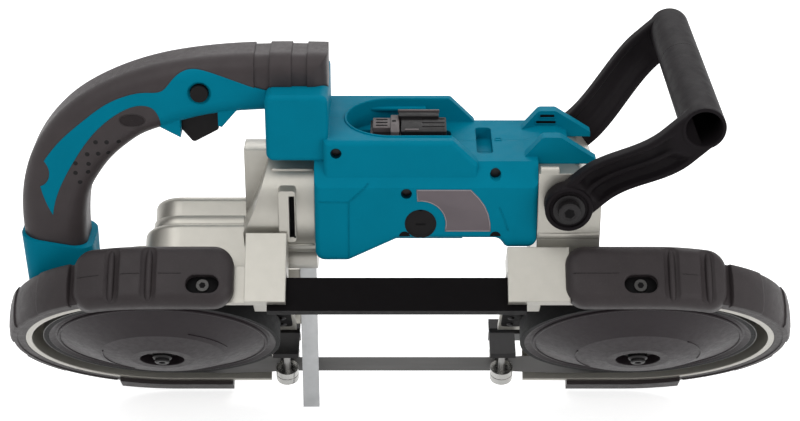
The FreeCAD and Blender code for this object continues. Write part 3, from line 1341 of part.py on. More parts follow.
def handle_solid(depth):
    """Handle with rounded edges, made smaller all round by a depth."""
    outer = handle_points(HANDLE_OUTER_SHARES)
    inner = handle_points(HANDLE_INNER_SHARES)
    if depth:
        outer = inset(outer, depth)
        inner = inset(inner, depth)
    corner = V(outer[-1].x, 0, inner[0].z)
    half = S.handle_half - depth
    solid = across(Part.Wire([smooth(outer), line_edge(outer[-1], corner), line_edge(corner, inner[0]),
                              smooth(inner), line_edge(inner[-1], outer[0])]), half)
    edges = [edge for edge in outline_edges(solid, -half) + outline_edges(solid, half)
             if edge.Length > S.handle_round * 2]
    return solid.makeFillet(S.handle_round - depth, edges)


def stripe_shape():
    """Outline of the bare stripe and of all that lies below it, across the whole handle."""
    lower = handle_points(STRIPE_LOWER_SHARES)
    upper = handle_points(STRIPE_UPPER_SHARES)
    inner_tail = lower[-1]
    below = V(inner_tail.x, 0, inner_tail.z - S.handle_half)
    side = V(upper[0].x, 0, below.z)
    edges = [smooth(upper), smooth(handle_points(STRIPE_BARB_SHARES)),
             smooth(handle_points(STRIPE_TIP_SHARES)), smooth(lower), line_edge(inner_tail, below),
             line_edge(below, side), line_edge(side, upper[0])]
    return across(Part.Wire(edges), S.handle_half + S.cut_overrun)


def foot_shape():
    """Sleeve round the lower end of the handle."""
    half = S.foot_half
    foot = side_plate([(-S.foot_left, S.foot_rear_top, 0), (-S.foot_right, S.foot_front_top, 0),
                       (-S.foot_right, 0, 0), (-S.foot_left + S.foot_taper, 0, 0)], -half, half)
    uprights = [edge for edge in foot.Edges if edge.BoundBox.ZLength > S.foot_half and
                edge.BoundBox.YLength < S.running_gap]
    return foot.makeFillet(S.handle_round, uprights)


def grip_bands():
    """Shallow bands round the front end of the rubber."""
    bands = []
    for turn in (0, 1):
        start = -S.grip_band_start + S.grip_band_pitch * turn
        bands.append(box(start, start + S.grip_band_width, -S.handle_left, S.handle_left, 0, S.handle_left))
    return union(bands).cut(handle_solid(S.grip_band_depth))


def build_handle(blocked):
    """Handle core in two halves, its rubber grip, the trigger, lock button and switch."""
    over = S.cut_overrun
    half = S.handle_half
    whole = handle_solid(0)
    foot = foot_shape()
    below = box(-S.wheel_span, 0, -S.wheel_span, S.wheel_span, -S.wheel_span, S.ceiling_top)
    below.Placement = WHEEL_PLANE_IN_LEVEL
    hooks = [side_plate([(x, z, 0) for x, z in hook], -half + S.grip_skin, half - S.grip_skin)
             for hook in trigger_hooks()]
    gap = S.running_gap
    height = button_height()
    button = rod(S.button_radius + gap, V(-S.button_x, -half - over, height),
                 V(-S.button_x, half + over, height))
    pocket = box(-S.trigger_x - S.trigger_length / 2 - gap, -S.trigger_x + S.trigger_length / 2 + gap,
                 -S.trigger_half - gap, S.trigger_half + gap, 0, trigger_top() + S.trigger_travel + gap)
    switch = switch_shape()
    taken = [button, pocket, switch]
    dishes = [Part.makeCone(S.button_flange, S.button_radius, S.button_flange - S.button_radius,
                            V(-S.button_x, hand * half, height), V(0, -hand, 0)) for hand in (-1, 1)]
    body = union([whole.common(stripe_shape()), handle_solid(S.grip_skin)] + hooks)
    body = union([body, foot]).cut(taken + dishes + [below] + blocked)
    grip = whole.cut([body, foot, grip_bands()] + taken + dishes + blocked)
    reach = S.handle_left + over
    tall = S.handle_top + over
    for label, y_from, y_to in (("handle_near", -reach, 0), ("handle_far", 0, reach)):
        formed(label, largest(body.common(box(-reach, 0, y_from, y_to, 0, tall))), LEVEL)
    formed("handle_grip", largest(grip), LEVEL)
    formed("switch", switch, LEVEL)
    proud = half + S.button_proud
    press = rod(S.button_radius, V(-S.button_x, -proud, height), V(-S.button_x, proud, height))
    formed("lock_button", press, LEVEL)
    formed("trigger", trigger_shape(), LEVEL)


def handle_under(x):
    """Height of the handle's underside at a station along the tool."""
    points = handle_points(HANDLE_INNER_SHARES)
    for start, end in zip(points, points[1:]):
        if end.x <= x <= start.x:
            return start.z + (end.z - start.z) * (x - start.x) / (end.x - start.x)
    return points[0].z


def button_height():
    """Height of the lock button's axis."""
    return handle_under(-S.button_x) + S.button_rise


def trigger_height():
    """Height of the trigger's middle."""
    return handle_under(-S.trigger_x) - S.trigger_drop


def trigger_top():
    """Height of the trigger's hidden top."""
    return trigger_height() + S.trigger_root


def trigger_shape():
    """Finger trigger with a hooked lower tip."""
    left = -S.trigger_x - S.trigger_length / 2
    right = -S.trigger_x + S.trigger_length / 2
    middle = trigger_height()
    tip = middle - S.trigger_depth / 2
    corner = S.trigger_length * TRIGGER_ROUND_SHARE
    return side_plate([(left, middle, corner), (left + S.trigger_length * TRIGGER_TIP_SHARE, tip, corner),
                       (right, middle, corner), (right, trigger_top(), 0), (left, trigger_top(), 0)],
                      -S.trigger_half, S.trigger_half)


def trigger_hooks():
    """Small guards moulded before and behind the trigger, as corner lists."""
    reach = S.trigger_length / 2 + S.running_gap
    hooks = []
    for start, shares in ((-S.trigger_x - reach, REAR_HOOK_SHARES), (-S.trigger_x + reach, FORE_HOOK_SHARES)):
        foot = trigger_height()
        hooks.append([(start + x * S.trigger_length, foot + z * S.trigger_depth) for x, z in shares])
    return hooks


def switch_shape():
    """Switch box inside the handle, in front of the lock button."""
    left = -S.button_x + S.button_flange + S.grip_skin
    foot = button_height() - S.switch_height / 2
    return box(left, left + S.switch_length, -S.switch_half, S.switch_half, foot, foot + S.switch_height)


# Front bracket and front handle

def build_front(frame):
    """Cast bracket on the front pan, the front handle and its pivot bolts and washers."""
    over = S.cut_overrun
    half = S.bracket_half
    corner = S.bracket_round
    head = side_plate([(S.housing_right, S.bracket_bottom, 0), (S.bracket_right, S.bracket_bottom, corner),
                       (S.bracket_right, S.pivot_height, corner),
                       (S.pivot_x + corner, S.bracket_top, corner),
                       (S.housing_right, S.bracket_top, 0)], -half, half)
    pedestal = box(S.housing_right, S.bracket_right, -half, half, 0, S.bracket_bottom + over)
    wheel_room = box(0, S.wheel_span, -S.wheel_span, S.wheel_span, -S.wheel_span, S.ceiling_top)
    lever_room = box(0, S.wheel_span, -S.pedestal_reach, S.wheel_span, -S.wheel_span,
                     S.bracket_bottom * TILT_COS)
    for room in (wheel_room, lever_room):
        room.Placement = WHEEL_PLANE_IN_LEVEL
    blocked = frame.copy()
    blocked.Placement = WHEEL_PLANE_IN_LEVEL
    bolts = []
    washers = []
    face = half + S.running_gap + S.arm_thickness + S.stop_gap
    for hand in (-1, 1):
        start = V(S.pivot_x, hand * (half - S.bracket_round * 2), S.pivot_height)
        seat = V(S.pivot_x, hand * face, S.pivot_height)
        top = V(S.pivot_x, hand * (face + S.pivot_washer_height), S.pivot_height)
        end = V(S.pivot_x, hand * (face + S.pivot_washer_height + S.pivot_head_height), S.pivot_height)
        shank = rod(S.pivot_bolt_radius, start, top)
        bolts.append(union([shank, rod(S.pivot_head_radius, top, end)]))
        washers.append(rod(S.pivot_washer_radius, seat, top).cut(rod(S.pivot_bolt_radius, seat, top)))
    bracket = union([head, pedestal]).cut([wheel_room, lever_room, blocked] + bolts)
    formed("front_bracket", largest(bracket), LEVEL)
    formed("handle_pivot_bolts", Part.makeCompound(bolts), LEVEL)
    formed("handle_pivot_washers", Part.makeCompound(washers), LEVEL)
    formed("front_handle", front_handle_shape(), LEVEL)


def arm_section(point, lean, width, depth, shift, hand):
    """Rectangle across an arm: width in the plane of the arm, depth across the tool."""
    along = V(-math.sin(lean), 0, math.cos(lean)) * (width / 2)
    out = V(0, hand, 0) * (depth / 2)
    middle = point + V(0, hand * shift, 0)
    corners = [middle - along - out, middle + along - out, middle + along + out, middle - along + out]
    return Part.makePolygon(corners + corners[:1])


def eased(share):
    """Share that starts and ends level, for the step of an arm."""
    clear = min(max((share - ARM_STEP_SHARE) / (1 - 2 * ARM_STEP_SHARE), 0), 1)
    return clear * clear * (3 - 2 * clear)


def front_handle_shape():
    """Front handle: a hollow cross grip on two channel arms that step outwards."""
    run = S.grip_x - S.pivot_x
    rise = S.grip_height - S.pivot_height
    lean = math.atan2(rise, run)
    inner = S.bracket_half + S.running_gap + S.arm_thickness / 2
    spread = S.grip_length / 2 - S.arm_thickness / 2 - inner
    solids = []
    pockets = []
    for hand in (-1, 1):
        outer = []
        hollow = []
        for step in range(int(S.arm_steps) + 1):
            share = step / (S.arm_steps + 1 / 2)
            point = V(S.pivot_x + run * share, hand * (inner + spread * eased(share)),
                      S.pivot_height + rise * share)
            outer.append(arm_section(point, lean, S.arm_width, S.arm_thickness, 0, hand))
            hollow.append(arm_section(point, lean, S.arm_width - 2 * S.arm_web, S.arm_thickness, S.arm_web,
                                      hand))
        solids.append(Part.makeLoft(outer, True, True))
        pockets.append(Part.makeLoft(hollow[2:], True, True))
        boss_from = V(S.pivot_x, hand * (S.bracket_half + S.running_gap), S.pivot_height)
        boss_to = boss_from + V(0, hand * S.arm_thickness, 0)
        solids.append(rod(S.pivot_boss_radius, boss_from, boss_to))
        pockets.append(rod(S.pivot_bolt_radius + S.shaft_gap, boss_from, boss_to))
    ends = [V(S.grip_x, hand * S.grip_length / 2, S.grip_height) for hand in (-1, 1)]
    grip = rod(S.grip_radius, ends[0], ends[1])
    bore = rod(S.grip_bore, ends[0], ends[1])
    arms = union(solids).cut(pockets)
    return largest(union([arms, grip]).cut(bore))


# Blade tension

def build_tension():
    """Sliding block that carries the idler axle, with its cam lever and pin."""
    gap = S.running_gap
    mid = S.ceiling_top + S.tension_block_height / 2
    top = S.ceiling_top + S.tension_block_height
    left = HALF_SPAN - S.tension_block_length / 2
    right = HALF_SPAN + S.tension_block_length / 2
    lip = S.tension_block_half - S.pan_wall
    rail = box(left, right, -S.tension_block_half, S.tension_block_half, S.ceiling_top + S.stop_gap, mid)
    block = union([rail, box(left, right, -lip, lip, mid, top)])
    block = block.cut(upright(S.idler_axle_radius, HALF_SPAN, 0, 0, top))
    formed("tension_block", block, WHEEL_PLANE)
    place = lever_place()
    foot = S.ceiling_top + gap
    arm_foot = top + 2 * gap
    arm_top = arm_foot + S.lever_thickness
    half = S.lever_width / 2
    cam = upright(S.cam_radius, place + S.cam_throw, 0, foot, foot + S.cam_height)
    hub = upright(S.lever_pin_radius + S.case_wall, place, 0, foot, arm_top)
    arm = plate([(place - half, 0, 0), (place + half, 0, 0),
                 (place + half, S.lever_length, half - S.shaft_gap),
                 (place - half, S.lever_length, half - S.shaft_gap)], arm_foot, arm_top)
    lever = union([cam, hub, arm]).cut(upright(S.lever_pin_radius + S.shaft_gap, place, 0, 0, arm_top))
    formed("tension_lever", lever, WHEEL_PLANE)
    head = arm_top + gap
    pin = union([upright(S.lever_pin_radius, place, 0, S.ceiling_under, head),
                 upright(S.lever_pin_radius + S.stop_thickness, place, 0, head, head + S.stop_thickness)])
    formed("lever_pin", pin, WHEEL_PLANE)


def export_pieces():
    """Check every object of the document, then write each piece to its own file."""
    doc.recompute()
    for obj in doc.Objects:
        if "Invalid" in obj.State or "Error" in obj.State:
            raise RuntimeError(f"{obj.Label} failed: {obj.State}")
    for obj in pieces:
        if obj.Shape.isNull() or not obj.Shape.isValid():
            raise RuntimeError(f"{obj.Label} has no valid shape")
    os.makedirs("parts", exist_ok=True)
    for obj in pieces:
        obj.Shape.exportStep(f"parts/{obj.Label}.step")


build_wheels()
build_axles()
build_blade()
frame_casting = build_frame_pieces()
build_guides(frame_casting)
build_stop()
build_gears()
build_gear_case(frame_casting)
build_motor()
level_case = doc.getObject("gear_case").Shape.copy()
level_case.Placement = WHEEL_PLANE_IN_LEVEL
level_frame = frame_casting.copy()
level_frame.Placement = WHEEL_PLANE_IN_LEVEL
build_housing([level_case, level_frame])
level_bumper = doc.getObject("rear_bumper").Shape.copy()
level_bumper.Placement = WHEEL_PLANE_IN_LEVEL
housing_solids = [doc.getObject(half).Shape.copy() for half in ("housing_near", "housing_far")]
for solid in housing_solids:
    solid.Placement = FreeCAD.Placement()
build_handle([level_case, level_bumper] + housing_solids)
build_front(frame_casting)
build_tension()
export_pieces()
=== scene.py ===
"""Looks of the portable band saw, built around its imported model.

Sizes are in millimetres unless said otherwise. Level points (x, y, z) count z from the height
of the wheel centres. Tilted points (x, w, k) lie in the plane of the wheels: w runs towards the
back of the saw along that plane, k stands on it.
"""

import json
import math

import bmesh
import bpy
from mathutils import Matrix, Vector
from mathutils.bvhtree import BVHTree


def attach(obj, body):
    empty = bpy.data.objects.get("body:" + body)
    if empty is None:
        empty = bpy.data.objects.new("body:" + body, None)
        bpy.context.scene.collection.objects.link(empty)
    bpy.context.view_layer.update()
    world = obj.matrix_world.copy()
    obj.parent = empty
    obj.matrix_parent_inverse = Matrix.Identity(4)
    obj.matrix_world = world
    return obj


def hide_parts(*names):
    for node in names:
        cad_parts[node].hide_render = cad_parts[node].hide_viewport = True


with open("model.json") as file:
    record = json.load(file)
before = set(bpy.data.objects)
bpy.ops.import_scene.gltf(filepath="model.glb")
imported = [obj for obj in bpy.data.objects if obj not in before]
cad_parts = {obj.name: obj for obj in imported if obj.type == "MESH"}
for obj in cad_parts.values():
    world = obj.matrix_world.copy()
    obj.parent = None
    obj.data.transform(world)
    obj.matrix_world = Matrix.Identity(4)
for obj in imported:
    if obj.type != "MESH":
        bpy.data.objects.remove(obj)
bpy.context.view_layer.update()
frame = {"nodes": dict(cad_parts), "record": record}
nodes = frame["nodes"]

MM = 0.001
WHEEL_HEIGHT = 84.0
WHEEL_TILT = math.radians(47.0)
TILT_SIN = math.sin(WHEEL_TILT)
TILT_COS = math.cos(WHEEL_TILT)
HALF_SPAN = 160.0
BODY = "saw_body"
CREASE = math.radians(35.0)
GRAIN_DEPTH = 0.0004
SEAM_STEPS = 6
TUBE_DOME = ((0.85, 0.35), (0.45, 0.6))
BESIDE_SAW = 200.0
ABOVE_SAW = 250.0
ACROSS = Vector((0, 1, 0))
DOWN = Vector((0, 0, -1))


# Colours and materials

def tone(red, green, blue):
    """Linear colour of a display colour given in 0 to 255."""
    shares = [value / 255 for value in (red, green, blue)]
    return tuple(s / 12.92 if s <= 0.04045 else ((s + 0.055) / 1.055) ** 2.4 for s in shares)


def scaled(colour, share):
    """A colour made lighter or darker."""
    return tuple(min(value * share, 1.0) for value in colour)


class Graph:
    """A material's node tree, with short ways to add and join nodes."""

    def __init__(self, name):
        self.material = bpy.data.materials.new(name)
        self.material.use_nodes = True
        self.tree = self.material.node_tree
        self.shader = self.tree.nodes["Principled BSDF"]

    def add(self, kind):
        return self.tree.nodes.new(kind)

    def join(self, source, target):
        self.tree.links.new(source, target)

    def noise(self, place, scale, detail=3.0, rough=0.5):
        node = self.add("ShaderNodeTexNoise")
        node.inputs["Scale"].default_value = scale
        node.inputs["Detail"].default_value = detail
        node.inputs["Roughness"].default_value = rough
        self.join(place, node.inputs["Vector"])
        return node.outputs["Fac"]

    def span(self, source, low, high, start=0.3, end=0.7):
        node = self.add("ShaderNodeMapRange")
        node.inputs["From Min"].default_value = start
        node.inputs["From Max"].default_value = end
        node.inputs["To Min"].default_value = low
        node.inputs["To Max"].default_value = high
        self.join(source, node.inputs["Value"])
        return node.outputs["Result"]

    def ramp(self, source, stops):
        node = self.add("ShaderNodeValToRGB")
        elements = node.color_ramp.elements
        while len(elements) < len(stops):
            elements.new(0.5)
        for element, (place, colour) in zip(elements, stops):
            element.position = place
            element.color = (*colour, 1.0)
        self.join(source, node.inputs["Fac"])
        return node.outputs["Color"]

    def blend(self, share, low, high):
        node = self.add("ShaderNodeMix")
        node.data_type = "RGBA"
        self.join(share, node.inputs["Factor"])
        self.join(low, node.inputs["A"])
        node.inputs["B"].default_value = (*high, 1.0)
        return node.outputs["Result"]


def surface(name, colour, rough, metal=0.0, grain=(1800.0, 0.1), mottle=(60.0, 0.06), spread=0.06,
            edge=0.0006, stretch=None, specular=0.5, speck=None):
    """Moulded, cast or rolled surface: mottled colour, uneven gloss, fine grain, soft edges."""
    graph = Graph(name)
    shader = graph.shader
    place = graph.add("ShaderNodeTexCoord").outputs["Object"]
    if stretch:
        mapping = graph.add("ShaderNodeMapping")
        mapping.inputs["Scale"].default_value = stretch
        graph.join(place, mapping.inputs["Vector"])
        place = mapping.outputs["Vector"]
    patch_scale, contrast = mottle
    patch = graph.noise(place, patch_scale, 4.0)
    base = graph.ramp(patch, [(0.3, scaled(colour, 1 - contrast)),
                              (0.7, scaled(colour, 1 + contrast))])
    if speck:
        dot_scale, dot_colour, share = speck
        dots = graph.noise(place, dot_scale, 1.0)
        base = graph.blend(graph.span(dots, 0.0, share, 0.62, 0.75), base, dot_colour)
    graph.join(base, shader.inputs["Base Color"])
    worn = graph.noise(place, patch_scale * 3, 5.0, 0.6)
    graph.join(graph.span(worn, rough - spread, rough + spread), shader.inputs["Roughness"])
    shader.inputs["Metallic"].default_value = metal
    shader.inputs["Specular IOR Level"].default_value = specular
    fine = graph.noise(place, grain[0], 2.0)
    bump = graph.add("ShaderNodeBump")
    bump.inputs["Strength"].default_value = grain[1]
    bump.inputs["Distance"].default_value = GRAIN_DEPTH
    graph.join(fine, bump.inputs["Height"])
    if edge:
        soft = graph.add("ShaderNodeBevel")
        soft.samples = 4
        soft.inputs["Radius"].default_value = edge
        graph.join(soft.outputs["Normal"], bump.inputs["Normal"])
    graph.join(bump.outputs["Normal"], shader.inputs["Normal"])
    return graph.material


TEAL = tone(0, 121, 147)
RUBBER = tone(58, 52, 53)
SILVER = tone(171, 168, 160)

FINISHES = {
    "teal_moulding": dict(colour=TEAL, rough=0.48, grain=(2600.0, 0.10), mottle=(40.0, 0.04),
                          edge=0.0011, specular=0.03),
    "handle_rubber": dict(colour=RUBBER, rough=0.46, grain=(3200.0, 0.26), mottle=(90.0, 0.08),
                          edge=0.0013, specular=0.22),
    "bumper_rubber": dict(colour=tone(52, 47, 48), rough=0.46, grain=(2200.0, 0.28),
                          mottle=(70.0, 0.10), edge=0.0018, specular=0.18,
                          speck=(900.0, tone(66, 63, 63), 0.3)),
    "tyre_rubber": dict(colour=tone(18, 18, 19), rough=0.7, grain=(2600.0, 0.3),
                        mottle=(120.0, 0.12), specular=0.2),
    "front_grip": dict(colour=tone(28, 25, 27), rough=0.45, grain=(2400.0, 0.08),
                       mottle=(50.0, 0.08), edge=0.0010, specular=0.04),
    "cast_aluminium": dict(colour=SILVER, rough=0.34, metal=0.6, grain=(2400.0, 0.16),
                           mottle=(150.0, 0.025), spread=0.03, edge=0.0011),
    "dark_casting": dict(colour=tone(40, 34, 37), rough=0.42, metal=0.15, grain=(2000.0, 0.12),
                         mottle=(90.0, 0.08), edge=0.0010, specular=0.13),
    "black_coat": dict(colour=tone(11, 9, 10), rough=0.5, grain=(2600.0, 0.08), mottle=(70.0, 0.10),
                       specular=0.04),
    "blade_steel": dict(colour=tone(92, 91, 90), rough=0.42, metal=0.6, grain=(500.0, 0.2),
                        mottle=(120.0, 0.12), stretch=(0.12, 1.0, 1.0), edge=0.0),
    "plain_steel": dict(colour=tone(150, 149, 147), rough=0.34, metal=0.9, grain=(900.0, 0.15),
                        mottle=(160.0, 0.08), edge=0.0004),
    "bearing_steel": dict(colour=tone(176, 175, 172), rough=0.24, metal=0.95, grain=(1200.0, 0.08),
                          mottle=(160.0, 0.06), edge=0.0004),
    "zinc_steel": dict(colour=tone(168, 169, 170), rough=0.34, metal=0.8, grain=(700.0, 0.12),
                       mottle=(110.0, 0.08), edge=0.0005),
    "dark_screws": dict(colour=tone(27, 25, 26), rough=0.40, metal=0.3, grain=(1500.0, 0.12),
                        mottle=(200.0, 0.12), edge=0.0004, specular=0.3),
    "dark_plastic": dict(colour=tone(18, 16, 17), rough=0.46, grain=(2600.0, 0.15),
                         mottle=(80.0, 0.10), edge=0.0007, specular=0.12),
    "contact_brass": dict(colour=tone(190, 160, 96), rough=0.3, metal=0.9, grain=(900.0, 0.1),
                          mottle=(200.0, 0.08), edge=0.0003),
    "armature_iron": dict(colour=tone(112, 84, 62), rough=0.45, metal=0.5, grain=(1600.0, 0.3),
                          mottle=(300.0, 0.15)),
    "magnet_iron": dict(colour=tone(58, 58, 60), rough=0.5, metal=0.3, grain=(1600.0, 0.2),
                        mottle=(200.0, 0.10)),
    "carbon": dict(colour=tone(24, 24, 25), rough=0.6, grain=(2000.0, 0.25), mottle=(200.0, 0.15)),
    "plate_grey": dict(colour=tone(103, 95, 99), rough=0.5, grain=(1500.0, 0.08),
                       mottle=(50.0, 0.05), edge=0.0003, specular=0.25),
    "plate_edge": dict(colour=tone(150, 142, 146), rough=0.5, grain=(1500.0, 0.08),
                       mottle=(50.0, 0.05), edge=0.0),
    "socket_grey": dict(colour=tone(84, 76, 76), rough=0.5, grain=(1500.0, 0.1),
                        mottle=(90.0, 0.08), edge=0.0003, specular=0.25),
    # Painted shade: this flat black stands in for the dark inside of slots, holes, recesses and
    # sockets.
    "painted_shade_black": dict(colour=tone(9, 8, 9), rough=0.7, grain=(1500.0, 0.1), mottle=(90.0, 0.1),
                       edge=0.0, specular=0.1),
    # Painted shade: this dark rubber stands in for the shade inside the pits of the handle.
    "painted_pit_shade": dict(colour=tone(17, 15, 16), rough=0.6, grain=(1500.0, 0.1), mottle=(90.0, 0.1),
                       edge=0.0, specular=0.2),
    "dent_rubber": dict(colour=tone(43, 38, 39), rough=0.58, grain=(3200.0, 0.30),
                        mottle=(90.0, 0.08), edge=0.0, specular=0.1),
    # Painted shade: this dark teal stands in for the shade on the walls of the screw holes.
    "painted_shade_teal": dict(colour=tone(0, 44, 56), rough=0.6, grain=(2600.0, 0.10), mottle=(40.0, 0.04),
                      edge=0.0, specular=0.03),
    "screw_steel": dict(colour=tone(60, 59, 58), rough=0.36, metal=0.7, grain=(900.0, 0.12),
                        mottle=(160.0, 0.1), edge=0.0005),
}
looks = {name: surface(name, **finish) for name, finish in FINISHES.items()}
OWN_LOOK = {"bumper_screws": "screw_steel"}

for entry in frame["record"]["subparts"]:
    slots = nodes[entry["node"]].data.materials
    slots.clear()
    slots.append(looks[OWN_LOOK.get(entry["node"], entry["material_slot"])])


# Points, outlines and meshes

def level(x, y, z):
    """Place of a level point, in metres."""
    return Vector((x, y, z + WHEEL_HEIGHT)) * MM


def tilted(x, w, k):
    """Place of a point in the wheels' plane, in metres."""
    return level(x, w * TILT_COS + k * TILT_SIN, k * TILT_COS - w * TILT_SIN)


def arc(centre, radius, start, end, count):
    """Points along an arc, angles in degrees."""
    points = []
    for step in range(count + 1):
        angle = math.radians(start + (end - start) * step / count)
        points.append((centre[0] + radius * math.cos(angle), centre[1] + radius * math.sin(angle)))
    return points


def rounded(corners, radius, count=6):
    """Outline of a convex polygon with rounded corners, anticlockwise."""
    outline = []
    for i, corner in enumerate(corners):
        here = Vector(corner)
        back = (Vector(corners[i - 1]) - here).normalized()
        ahead = (Vector(corners[(i + 1) % len(corners)]) - here).normalized()
        half = back.angle(ahead) / 2
        start = here + back * (radius / math.tan(half))
        end = here + ahead * (radius / math.tan(half))
        centre = here + (back + ahead).normalized() * (radius / math.sin(half))
        for step in range(count + 1):
            share = step / count
            towards = start.lerp(end, share) - centre
            outline.append(tuple(centre + towards.normalized() * radius))
    return outline


def rectangle(x_from, x_to, z_from, z_to, radius):
    """Rounded rectangle outline."""
    return rounded([(x_from, z_from), (x_to, z_from), (x_to, z_to), (x_from, z_to)], radius)


def inset(outline, depth):
    """An anticlockwise outline moved inwards."""
    moved = []
    count = len(outline)
    for i in range(count):
        here = Vector(outline[i])
        before = (here - Vector(outline[i - 1])).normalized()
        after = (Vector(outline[(i + 1) % count]) - here).normalized()
        normal = Vector((-before.y - after.y, before.x + after.x))
        stretch = 1 + before.dot(after)
        moved.append(tuple(here + normal * (depth / max(stretch, 0.3))))
    return moved


def piece(name, verts, faces, slot, body=BODY, look=None):
    """New mesh piece that rides on a body; its finish is its slot's, or the look named."""
    mesh = bpy.data.meshes.new(name)
    mesh.from_pydata([tuple(v) for v in verts], [], faces)
    shape = bmesh.new()
    shape.from_mesh(mesh)
    bmesh.ops.recalc_face_normals(shape, faces=shape.faces)
    for face in shape.faces:
        face.smooth = True
    for edge in shape.edges:
        edge.smooth = len(edge.link_faces) == 2 and edge.calc_face_angle(0.0) < CREASE
    shape.to_mesh(mesh)
    shape.free()
    mesh.materials.append(looks[look or slot])
    obj = bpy.data.objects.new(name, mesh)
    bpy.context.scene.collection.objects.link(obj)
    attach(obj, body)
    return obj


def joined(parts):
    """Several (verts, faces) lists as one."""
    verts = []
    faces = []
    for some_verts, some_faces in parts:
        start = len(verts)
        verts += list(some_verts)
        faces += [tuple(start + i for i in face) for face in some_faces]
    return verts, faces


def rings_mesh(rings, closed=False, caps=True):
    """Skin over equal rings of points."""
    size = len(rings[0])
    verts = [point for ring in rings for point in ring]
    faces = []
    last = len(rings) if closed else len(rings) - 1
    for i in range(last):
        a = i * size
        b = (i + 1) % len(rings) * size
        for j in range(size):
            k = (j + 1) % size
            faces.append((a + j, a + k, b + k, b + j))
    if caps and not closed:
        faces.append(tuple(reversed(range(size))))
        faces.append(tuple(range((len(rings) - 1) * size, len(rings) * size)))
    return verts, faces


def slab(outline, place, foot, head, bevel):
    """Plate with a bevelled face, from an outline (a, b); place(a, b, h) gives its points."""
    side = 1 if head > foot else -1
    inner = inset(outline, bevel)
    middle = inset(outline, bevel * 0.3)
    rings = [[place(a, b, foot) for a, b in outline],
             [place(a, b, head - side * bevel) for a, b in outline],
             [place(a, b, head - side * bevel * 0.3) for a, b in middle],
             [place(a, b, head) for a, b in inner]]
    return rings_mesh(rings)


def near_face(a, b, h):
    """Outline on the side of the saw that faces the camera: x, z and the place across."""
    return level(a, h, b)


def from_above(a, b, h):
    """Outline seen from above: x, y and the height."""
    return level(a, b, h)


def ring_points(middle, side, other, radius, count):
    """Points round a middle, in the plane that side and other span."""
    points = []
    for j in range(count):
        turn = 2 * math.pi * j / count
        points.append(middle + (side * math.cos(turn) + other * math.sin(turn)) * radius * MM)
    return points


def tube(points, radius, sides=10, closed=False):
    """Round bead along points given in metres; open ends are domed."""
    count = len(points)
    stations = []
    side = None
    for i, point in enumerate(points):
        before = points[i - 1] if i or closed else point
        after = points[(i + 1) % count] if i + 1 < count or closed else point
        along = (after - before).normalized()
        if side is None:
            side = along.orthogonal().normalized()
        side = (side - along * side.dot(along)).normalized()
        stations.append((point, along, side, along.cross(side)))

    def ring(station, size, shift):
        point, along, side, other = station
        return ring_points(point + along * shift * MM, side, other, size, sides)

    rings = [ring(station, radius, 0) for station in stations]
    if not closed:
        for size, shift in TUBE_DOME:
            rings.insert(0, ring(stations[0], radius * size, -radius * shift))
            rings.append(ring(stations[-1], radius * size, radius * shift))
    return rings_mesh(rings, closed)


def lathe(profile, place, axis, segments, closed=False):
    """Turned shape from (radius, height) pairs along an axis; a closed profile makes a ring."""
    axis = axis.normalized()
    side = axis.orthogonal().normalized()
    other = axis.cross(side)
    rings = [ring_points(place + axis * height * MM, side, other, radius, segments)
             for radius, height in profile]
    return rings_mesh(rings, closed)


def line(points, per):
    """Smooth run of points through a few, given in metres."""
    run = []
    for i in range(len(points) - 1):
        p0 = points[max(i - 1, 0)]
        p1, p2 = points[i], points[i + 1]
        p3 = points[min(i + 2, len(points) - 1)]
        for step in range(per):
            t = step / per
            run.append(0.5 * (2 * p1 + (p2 - p0) * t + (2 * p0 - 5 * p1 + 4 * p2 - p3) * t ** 2
                              + (3 * p1 - p0 - 3 * p2 + p3) * t ** 3))
    run.append(points[-1])
    return run


trees = {}


def cast(node, start, towards):
    """First point on a node that a ray meets, and the direction out of it there."""
    if node not in trees:
        mesh = nodes[node].data
        trees[node] = BVHTree.FromPolygons([v.co.copy() for v in mesh.vertices],
                                           [tuple(p.vertices) for p in mesh.polygons])
    found, normal, _, _ = trees[node].ray_cast(start, towards)
    if found is None:
        return None
    if normal.dot(towards) > 0:
        normal = -normal
    return found, normal


def on_surface(node, x, z, hand, lift=0.0):
    """Point and outward direction on a node, found from one side of the saw at a level x and z."""
    hit = cast(node, level(x, hand * BESIDE_SAW, z), ACROSS * -hand)
    if hit is None:
        return None
    return hit[0] + hit[1] * lift * MM, hit[1]


def seam(node, corners, hand, radius):
    """Thin raised line over a node's side, through corners given as x and z."""
    points = []
    for start, end in zip(corners, corners[1:]):
        for step in range(SEAM_STEPS + 1):
            share = step / SEAM_STEPS
            if step or not points:
                hit = on_surface(node, start[0] + (end[0] - start[0]) * share,
                                 start[1] + (end[1] - start[1]) * share, hand)
                points.append(hit[0])
    return tube(points, radius, 6)


def skin(node, xs, zs, hand, sink, lift):
    """Thin closed patch that follows a node's side over a grid of x and z."""
    rings = []
    for x in xs:
        upper = [on_surface(node, x, z, hand, lift)[0] for z in zs]
        lower = [on_surface(node, x, z, hand, -sink)[0] for z in reversed(zs)]
        rings.append(upper + lower)
    return rings_mesh(rings)


def steps(start, end, count):
    """Even steps from one number to another."""
    return [start + (end - start) * step / count for step in range(count + 1)]


# Bare plate, battery bay and vents on the housing

HOUSING_HALF = 42.0
HOUSING_FACE = -HOUSING_HALF
CAP_PLACE = (13.0, 103.0)
CAP_DOME = ((0.3, 0.7), (4.5, 0.66), (7.6, 0.45), (9.0, 0.1), (9.2, -0.4))
SCREW_PLACES = ((-40.0, 150.0), (60.0, 135.0), (4.0, 124.0))
SCREW_WELL = ((3.48, 0.3), (3.1, 0.3), (3.1, 4.2), (3.48, 4.2))
TERMINAL_FOOT = 148.8
SHELF_HEIGHT = 142.0
RIB_FACE = 16.9


